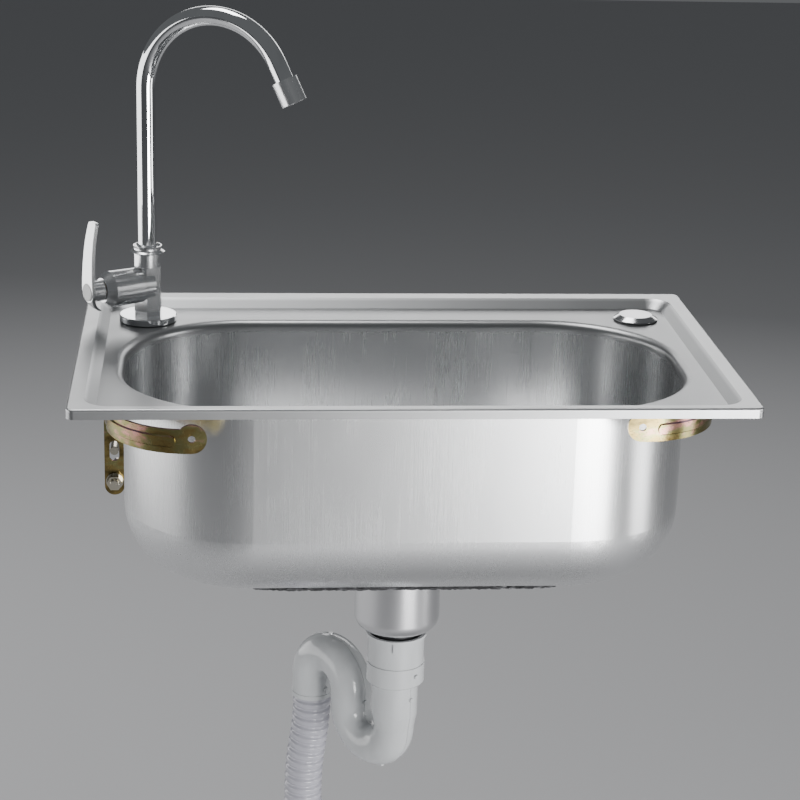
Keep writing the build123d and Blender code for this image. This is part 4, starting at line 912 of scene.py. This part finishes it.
def coat_former() -> Former:
    """The tree that roughens a sprayed coat, always towards its inside."""
    former = Former("rough_coat")
    lumps = former.size("Lumps")
    ragged = former.size("Ragged")
    direction = former.add("GeometryNodeInputNormal")
    upright = former.add("ShaderNodeSeparateXYZ", {}, {0: direction}, 2)
    sideways = 1.0 - upright.maths("ABSOLUTE", upright)
    fine = former.add("ShaderNodeTexNoise", {}, {"Scale": 240.0, "Detail": 4.0})
    broad = former.add("ShaderNodeTexNoise", {}, {"Scale": 75.0, "Detail": 3.0})
    pitted = lumps * fine.steps(0.3, 0.7)
    frayed = ragged * broad.steps(0.35, 0.65) * sideways
    shift = {0: direction, "Scale": (pitted + frayed) * -1.0}
    inwards = former.add("ShaderNodeVectorMath", {"operation": "SCALE"}, shift)
    moved = {"Geometry": former.shape, "Offset": inwards}
    return former.close(former.add("GeometryNodeSetPosition", {}, moved))


def point_mesh(name: str, points: Vectors, facing: Vectors = ()) -> bpy.types.Mesh:
    """A mesh of loose points, each with a direction if there is one.

    Args:
        name: The mesh's name.
        points: The points, in metres.
        facing: The direction of each point.

    Returns:
        The mesh.
    """
    mesh = bpy.data.meshes.new(name)
    mesh.from_pydata([tuple(point) for point in points], [], [])
    if facing:
        attribute = mesh.attributes.new("facing", "FLOAT_VECTOR", "POINT")
        parts = [part for direction in facing for part in direction]
        attribute.data.foreach_set("vector", parts)
    return mesh


@dataclass
class Hose:
    """The ribbed drain hose under the trap, one smooth hanging line."""

    wardrobe: Wardrobe
    start: Point = (-0.069523, -0.108756, -0.18695)
    steps: tuple[Point, ...] = (
        (0.0, 0.0, -26.0),
        (-8.0, 0.5, -50.0),
        (1.5, 3.0, -76.0),
        (3.0, 4.0, -92.0),
        (3.0, 2.5, -92.0),
        (0.5, 0.0, -86.0),
        (0.0, 0.0, -76.0),
    )
    crest: float = 17.7 * MM
    root: float = 15.7 * MM
    bore: float = 14.3 * MM
    pitch: float = 8.8 * MM
    cuff: float = 3.0 * MM
    length: float = 0.5
    sides: int = 44
    step: float = 0.8 * MM
    end_reach: float = 1.3

    def route(self) -> list[Vector]:
        """The route's corner points, from the trap's outlet down to the spigot."""
        places = [Vector(self.start)]
        for step in self.steps:
            places.append(places[-1] + Vector(step) * MM)
        return places

    def centreline(self) -> list[Vector]:
        """Points of the smooth line that the route's corners steer."""
        data = bpy.data.curves.new("hose_line", "CURVE")
        data.dimensions = "3D"
        spline = data.splines.new("NURBS")
        corners = self.route()
        spline.points.add(len(corners) - 1)
        for point, place in zip(spline.points, corners):
            point.co = (*place, 1.0)
        spline.order_u = 3
        spline.use_endpoint_u = True
        spline.resolution_u = 16
        line = bpy.data.objects.new("hose_line", data)
        bpy.context.scene.collection.objects.link(line)
        bpy.context.view_layer.update()
        mesh = bpy.data.meshes.new_from_object(line)
        points = [vertex.co.copy() for vertex in mesh.vertices]
        bpy.data.objects.remove(line)
        bpy.data.meshes.remove(mesh)
        return points

    @staticmethod
    def close_ends(mesh: bpy.types.Mesh, ends: Sequence[Vector], reach: float) -> None:
        """Joins the outer and the inner wall at both ends.

        Args:
            mesh: The hose.
            ends: The middles of its two ends.
            reach: How far from its middle an end's edge may lie.
        """
        shell = bmesh.new()
        shell.from_mesh(mesh)
        for end in ends:
            rim = [
                edge for edge in shell.edges
                if edge.is_boundary
                and all((vertex.co - end).length < reach for vertex in edge.verts)
            ]
            bmesh.ops.bridge_loops(shell, edges=rim)
        shell.to_mesh(mesh)
        shell.free()

    def build(self) -> None:
        points = self.centreline()
        runs = [(after - before).length for before, after in zip(points, points[1:])]
        length = sum(runs)
        ribs = round((length - 2 * self.cuff) / self.pitch)
        hose = hose_former().form(
            "ribbed_drain_hose", line_mesh("hose_path", points), root=self.root, crest=self.crest,
            bore=self.bore, pitch=(length - 2 * self.cuff) / ribs, cuff=self.cuff, step=self.step,
            sides=self.sides, length=length, finish=self.wardrobe[Finish.HOSE],
        )
        self.close_ends(hose.data, (points[0], points[-1]), self.end_reach * self.crest)
        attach(hose, "sink")
        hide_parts("drain_hose")
        LOG.info("hose: %d ribs on %.3f m", ribs, length)


@dataclass
class TrapMouldings:
    """Parting line and ejector nubs on the trap."""

    wardrobe: Wardrobe
    turn: float = math.radians(50.8)
    low_spacing: float = 57.0 * MM
    high_spacing: float = 53.0 * MM
    inlet_radius: float = 20.4 * MM
    bend_radius: float = 18.0 * MM
    tube_radius: float = 18.7 * MM
    rise: float = 14.5 * MM
    taper: float = 14.0 * MM
    seam: float = 0.45 * MM
    ring_radius: float = 25.8 * MM
    nub_radius: float = 2.3 * MM
    nub_height: float = 1.9 * MM
    nub_taper: float = 0.8
    nub_sunk: float = 0.4 * MM
    ring_above_outlet: float = 51.5 * MM
    seam_above_outlet: float = 4.5 * MM

    def __post_init__(self) -> None:
        """Reads the trap's place from the frame."""
        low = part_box("trap_body")[0]
        cup_low, cup_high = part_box("drain_cup")
        self.axis = Vector(((cup_low.x + cup_high.x) / 2, (cup_low.y + cup_high.y) / 2, 0.0))
        self.bend_low = low.z + self.low_spacing / 2 + self.bend_radius
        self.bend_high = self.bend_low + self.rise
        self.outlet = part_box("drain_hose")[1].z
        self.ring_low = self.outlet + self.ring_above_outlet

    def on_trap(self, along: float, aside: float, height: float) -> Vector:
        """A point in the trap's own upright plane.

        Args:
            along: How far towards the outlet.
            aside: How far out of the plane, towards the front.
            height: Its height.

        Returns:
            The point in the row frame.
        """
        forward = Vector((-math.cos(self.turn), math.sin(self.turn), 0.0))
        side = Vector((-math.sin(self.turn), -math.cos(self.turn), 0.0))
        return self.axis + forward * along + side * aside + Vector((0.0, 0.0, height))

    def outline(self, out: float) -> list[tuple[float, float]]:
        """The trap's edge in its own plane, from the inlet to the outlet.

        Args:
            out: 1 for the outer edge of the low bend, -1 for the inner one.

        Returns:
            Points of (way towards the outlet, height).
        """
        inlet = -out * self.inlet_radius
        edge = [(inlet, self.ring_low), (inlet, self.bend_low + self.taper)]
        low = self.low_spacing / 2
        high = self.high_spacing / 2
        bends = (
            (low, self.bend_low, low + out * self.bend_radius, 1),
            (self.low_spacing + high, self.bend_high, high - out * self.tube_radius, -1),
        )
        for middle, level, reach, way in bends:
            for number in range(ARC_STEPS + 1):
                angle = math.pi * (1 + way * number / ARC_STEPS)
                edge.append((middle + reach * math.cos(angle), level + reach * math.sin(angle)))
        last = self.low_spacing + self.high_spacing - out * self.tube_radius
        return edge + [(last, self.outlet + self.seam_above_outlet)]

    def nubs(self) -> list[tuple[float, float, float, float]]:
        """Ejector nubs on the parting line.

        Returns:
            For each, its way towards the outlet, its height and its direction in that plane.
        """
        low = self.low_spacing / 2
        high = self.low_spacing + self.high_spacing / 2
        low_reach = low + self.bend_radius
        high_reach = self.high_spacing / 2 + self.tube_radius
        middle_edge = self.low_spacing - self.bend_radius - 0.3 * MM
        outlet_edge = self.low_spacing + self.high_spacing - self.tube_radius
        return [
            (-self.ring_radius, self.ring_low + 12.0 * MM, -1.0, 0.0),
            (-self.inlet_radius, self.ring_low - 12.5 * MM, -1.0, 0.0),
            (middle_edge, self.bend_low + 8.5 * MM, -1.0, 0.0),
            (outlet_edge, self.outlet + 10.0 * MM, -1.0, 0.0),
            (low - 0.30 * low_reach, self.bend_low - 0.954 * low_reach, -0.30, -0.954),
            (high + 0.04 * high_reach, self.bend_high + 0.999 * high_reach, 0.04, 0.999),
        ]

    def build_nubs(self) -> None:
        """Makes the nubs on the trap."""
        points = []
        facing = []
        for along, height, out, up in self.nubs():
            direction = self.on_trap(out, 0.0, up) - self.on_trap(0.0, 0.0, 0.0)
            points.append(self.on_trap(along, 0.0, height) - self.nub_sunk * direction)
            facing.append(direction)
        nubs = nub_former().form(
            "trap_nubs", point_mesh("nub_places", points, facing), foot=self.nub_radius,
            top=self.nub_taper * self.nub_radius, height=self.nub_height + self.nub_sunk,
            finish=self.wardrobe[Finish.TRAP],
        )
        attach(nubs, "sink")

    def build(self) -> None:
        """Makes the parting line and the nubs."""
        self.build_nubs()
        former = path_former()
        for name, out in (("outer", 1.0), ("inner", -1.0)):
            line = [self.on_trap(along, 0.0, height) for along, height in self.outline(out)]
            seam = former.form(
                f"trap_seam_{name}", line_mesh("seam_path", line), radius=self.seam,
                sides=SEAM_SIDES, finish=self.wardrobe[Finish.TRAP],
            )
            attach(seam, "sink")
        LOG.info("trap: parting lines")


@dataclass
class NutGrips:
    """Three short ribs under the rim of the trap's coupling nut."""

    wardrobe: Wardrobe
    count: int = 3
    first: float = math.radians(-98.0)
    radius: float = 25.0 * MM
    drop: float = 2.4 * MM
    block: Point = (3.4 * MM, 2.2 * MM, 8.6 * MM)

    def build(self) -> None:
        """Makes the ribs."""
        low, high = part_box("coupling_nut")
        height = high.z - self.drop - self.block[2] / 2
        axis = Vector(((low.x + high.x) / 2, (low.y + high.y) / 2, height))
        angles = [self.first + math.tau * number / self.count for number in range(self.count)]
        facing = [Vector((math.cos(angle), math.sin(angle), 0.0)) for angle in angles]
        points = [axis + self.radius * direction for direction in facing]
        ribs = rib_former().form(
            "nut_grips", point_mesh("grip_places", points, facing), block=self.block,
            finish=self.wardrobe[Finish.TRAP],
        )
        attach(ribs, "sink")


@dataclass
class SprayedCoat:
    """The coat under the bowl, rough and with a ragged edge."""

    wardrobe: Wardrobe
    grain: float = 1.5 * MM
    lumps: float = 1.3 * MM
    ragged: float = 4.0 * MM

    def build(self, solid: bpy.types.Object) -> None:
        """Makes the rough coat in the plain one's place.

        Args:
            solid: The plain coat.
        """
        block = bpy.data.objects.new("coat_block", solid.data.copy())
        bpy.context.scene.collection.objects.link(block)
        remesh = block.modifiers.new("grain", "REMESH")
        remesh.mode = "VOXEL"
        remesh.voxel_size = self.grain
        bpy.context.view_layer.update()
        evaluated = block.evaluated_get(bpy.context.evaluated_depsgraph_get())
        mesh = bpy.data.meshes.new_from_object(evaluated)
        bpy.data.objects.remove(block)
        coat = coat_former().form(
            "sprayed_coat", mesh, lumps=self.lumps, ragged=self.ragged,
            finish=self.wardrobe[Finish.COAT],
        )
        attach(coat, "sink")
        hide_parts("undercoat")
        LOG.info("coat: %d faces", len(coat.data.polygons))


@dataclass(frozen=True)
class Thread:
    """Screw threads of one size, in millimetres, on one or more rods that point the same way."""

    name: str
    finish: Finish
    slot: str
    starts: tuple[Point, ...]
    radius: float
    pitch: float
    rise: float
    depth: float = 0.28
    turn: Point = (0.0, 0.0, 0.0)

    def build(self, wardrobe: Wardrobe) -> None:
        """Winds the threads.

        Args:
            wardrobe: The finishes.
        """
        points = [Vector(start) * MM for start in self.starts]
        thread = thread_former().form(
            self.name, point_mesh(self.name + "_starts", points), radius=self.radius * MM,
            depth=self.depth * MM, turns=self.rise / self.pitch, rise=self.rise * MM,
            turn=self.turn, finish=wardrobe[self.finish],
        )
        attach(thread, "sink")


INTO_WALL = (-math.pi / 2, 0.0, 0.0)
THREADS = (
    Thread(
        "lower_stud_threads", Finish.NUTS, "zinc_anchor",
        starts=((-254.15, -14.3, -15.0), (254.15, -14.3, -15.0)),
        radius=4.0, pitch=1.25, rise=3.5, depth=0.25, turn=INTO_WALL,
    ),
    Thread(
        "upper_stud_threads", Finish.NUTS, "zinc_anchor",
        starts=((-254.15, -2.8, 15.0), (254.15, -2.8, 15.0)),
        radius=4.0, pitch=1.25, rise=2.5, depth=0.25, turn=INTO_WALL,
    ),
    Thread(
        "inlet_thread", Finish.CHROME, "tap_chrome",
        starts=((-219.0, -67.0, 110.2),), radius=10.48, pitch=1.814, rise=17.8, depth=0.4,
    ),
    Thread(
        "shank_thread", Finish.CHROME, "tap_chrome",
        starts=((-219.0, -67.0, 132.2),), radius=10.48, pitch=1.814, rise=18.0, depth=0.4,
    ),
    Thread(
        "neck_thread", Finish.NECK, "neck_dark",
        starts=((0.0, -194.0, -87.1),), radius=20.6, pitch=3.0, rise=4.2, depth=0.6,
    ),
    Thread(
        "cover_thread", Finish.ZINC, "zinc_steel",
        starts=((224.0, -63.0, 136.2),), radius=4.0, pitch=1.25, rise=15.0,
    ),
)


@dataclass(frozen=True)
class Lamp:
    """One soft rectangular light."""

    name: str
    place: Point
    aim: Point
    size: Pair
    power: float

    def build(self) -> None:
        """Hangs the light, unseen by the camera."""
        data = bpy.data.lights.new(self.name, "AREA")
        data.shape = "RECTANGLE"
        data.size, data.size_y = self.size
        data.energy = self.power
        lamp = bpy.data.objects.new(self.name, data)
        lamp.location = self.place
        lamp.rotation_mode = "QUATERNION"
        way = Vector(self.aim) - Vector(self.place)
        lamp.rotation_quaternion = way.to_track_quat("-Z", "Y")
        lamp.visible_camera = False
        bpy.context.scene.collection.objects.link(lamp)


LAMPS = (
    Lamp("key", place=(-0.5, 0.4, 2.4), aim=(0.0, -0.25, 0.0), size=(1.2, 1.2), power=34.0),
    Lamp(
        "front_card",
        place=(0.92, -1.95, -0.22), aim=(0.05, -0.3, 0.05), size=(1.0, 0.8), power=46.0,
    ),
    Lamp("right_card", place=(2.1, -0.75, 0.05), aim=(0.0, -0.2, 0.1), size=(0.6, 1.6), power=16.0),
    Lamp("left_card", place=(-2.0, 0.3, 0.0), aim=(0.0, -0.15, 0.0), size=(3.4, 1.1), power=32.0),
    Lamp("back", place=(0.6, 2.6, 1.1), aim=(0.0, -0.2, 0.15), size=(2.6, 0.7), power=18.0),
)


@dataclass
class Studio:
    """Floor, lights and camera."""

    place: Point = (-0.1613, -1.9649, 0.6958)
    pitch: float = 17.753
    yaw: float = 5.14
    roll: float = -1.478
    focus: float = 2183.8
    picture: float = 800.0
    sensor: float = 36.0
    far: float = 60.0
    sky: tuple[float, float, float, float] = (0.115, 0.12, 0.125, 1.0)
    floor_reach: float = 9.0
    floor_gap: float = 0.001
    floor_tint: Colour = (0.47, 0.47, 0.48)
    floor_roughness: float = 0.8

    def camera(self) -> None:
        """Makes the camera at the viewing angle."""
        pitch, yaw, roll = (math.radians(angle) for angle in (self.pitch, self.yaw, self.roll))
        level = math.cos(pitch)
        ahead = Vector((math.sin(yaw) * level, math.cos(yaw) * level, -math.sin(pitch)))
        right = Vector((math.cos(yaw), -math.sin(yaw), 0.0))
        down = ahead.cross(right)
        right, down = (
            right * math.cos(roll) + down * math.sin(roll),
            down * math.cos(roll) - right * math.sin(roll),
        )
        data = bpy.data.cameras.new("camera")
        data.sensor_width = self.sensor
        data.lens = self.focus / self.picture * self.sensor
        data.clip_end = self.far
        camera = bpy.data.objects.new("camera", data)
        bpy.context.scene.collection.objects.link(camera)
        frame = Matrix((right, -down, -ahead)).transposed().to_4x4()
        camera.matrix_world = Matrix.Translation(self.place) @ frame
        bpy.context.scene.camera = camera

    def floor(self) -> None:
        """Makes the plain pale floor."""
        reach = self.floor_reach
        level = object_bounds()[0].z - self.floor_gap
        mesh = bpy.data.meshes.new("floor")
        turns = ((-reach, -reach), (reach, -reach), (reach, reach), (-reach, reach))
        mesh.from_pydata([(*turn, level) for turn in turns], [], [(0, 1, 2, 3)])
        paint = Paint("pale_floor")
        pale = paint.dress(base_color=self.floor_tint, roughness=self.floor_roughness)
        mesh.materials.append(pale)
        floor = bpy.data.objects.new("floor", mesh)
        bpy.context.scene.collection.objects.link(floor)
        floor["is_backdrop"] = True

    def light(self) -> None:
        """Sets the sky's even grey and the soft lights."""
        world = bpy.data.worlds.new("sky")
        world.use_nodes = True
        background = world.node_tree.nodes["Background"]
        background.inputs["Color"].default_value = self.sky
        background.inputs["Strength"].default_value = 1.0
        bpy.context.scene.world = world
        for lamp in LAMPS:
            lamp.build()


def main() -> None:
    """Builds every sub-assembly around the frame."""
    logging.basicConfig(level=logging.INFO)
    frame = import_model()
    studio = Studio()
    studio.camera()
    wardrobe = Wardrobe()
    wardrobe.dress_nodes(frame["nodes"])
    Hose(wardrobe).build()
    TrapMouldings(wardrobe).build()
    NutGrips(wardrobe).build()
    SprayedCoat(wardrobe).build(frame["nodes"]["undercoat"])
    for thread in THREADS:
        thread.build(wardrobe)
    studio.floor()
    studio.light()


if __name__ == "__main__":
    main()
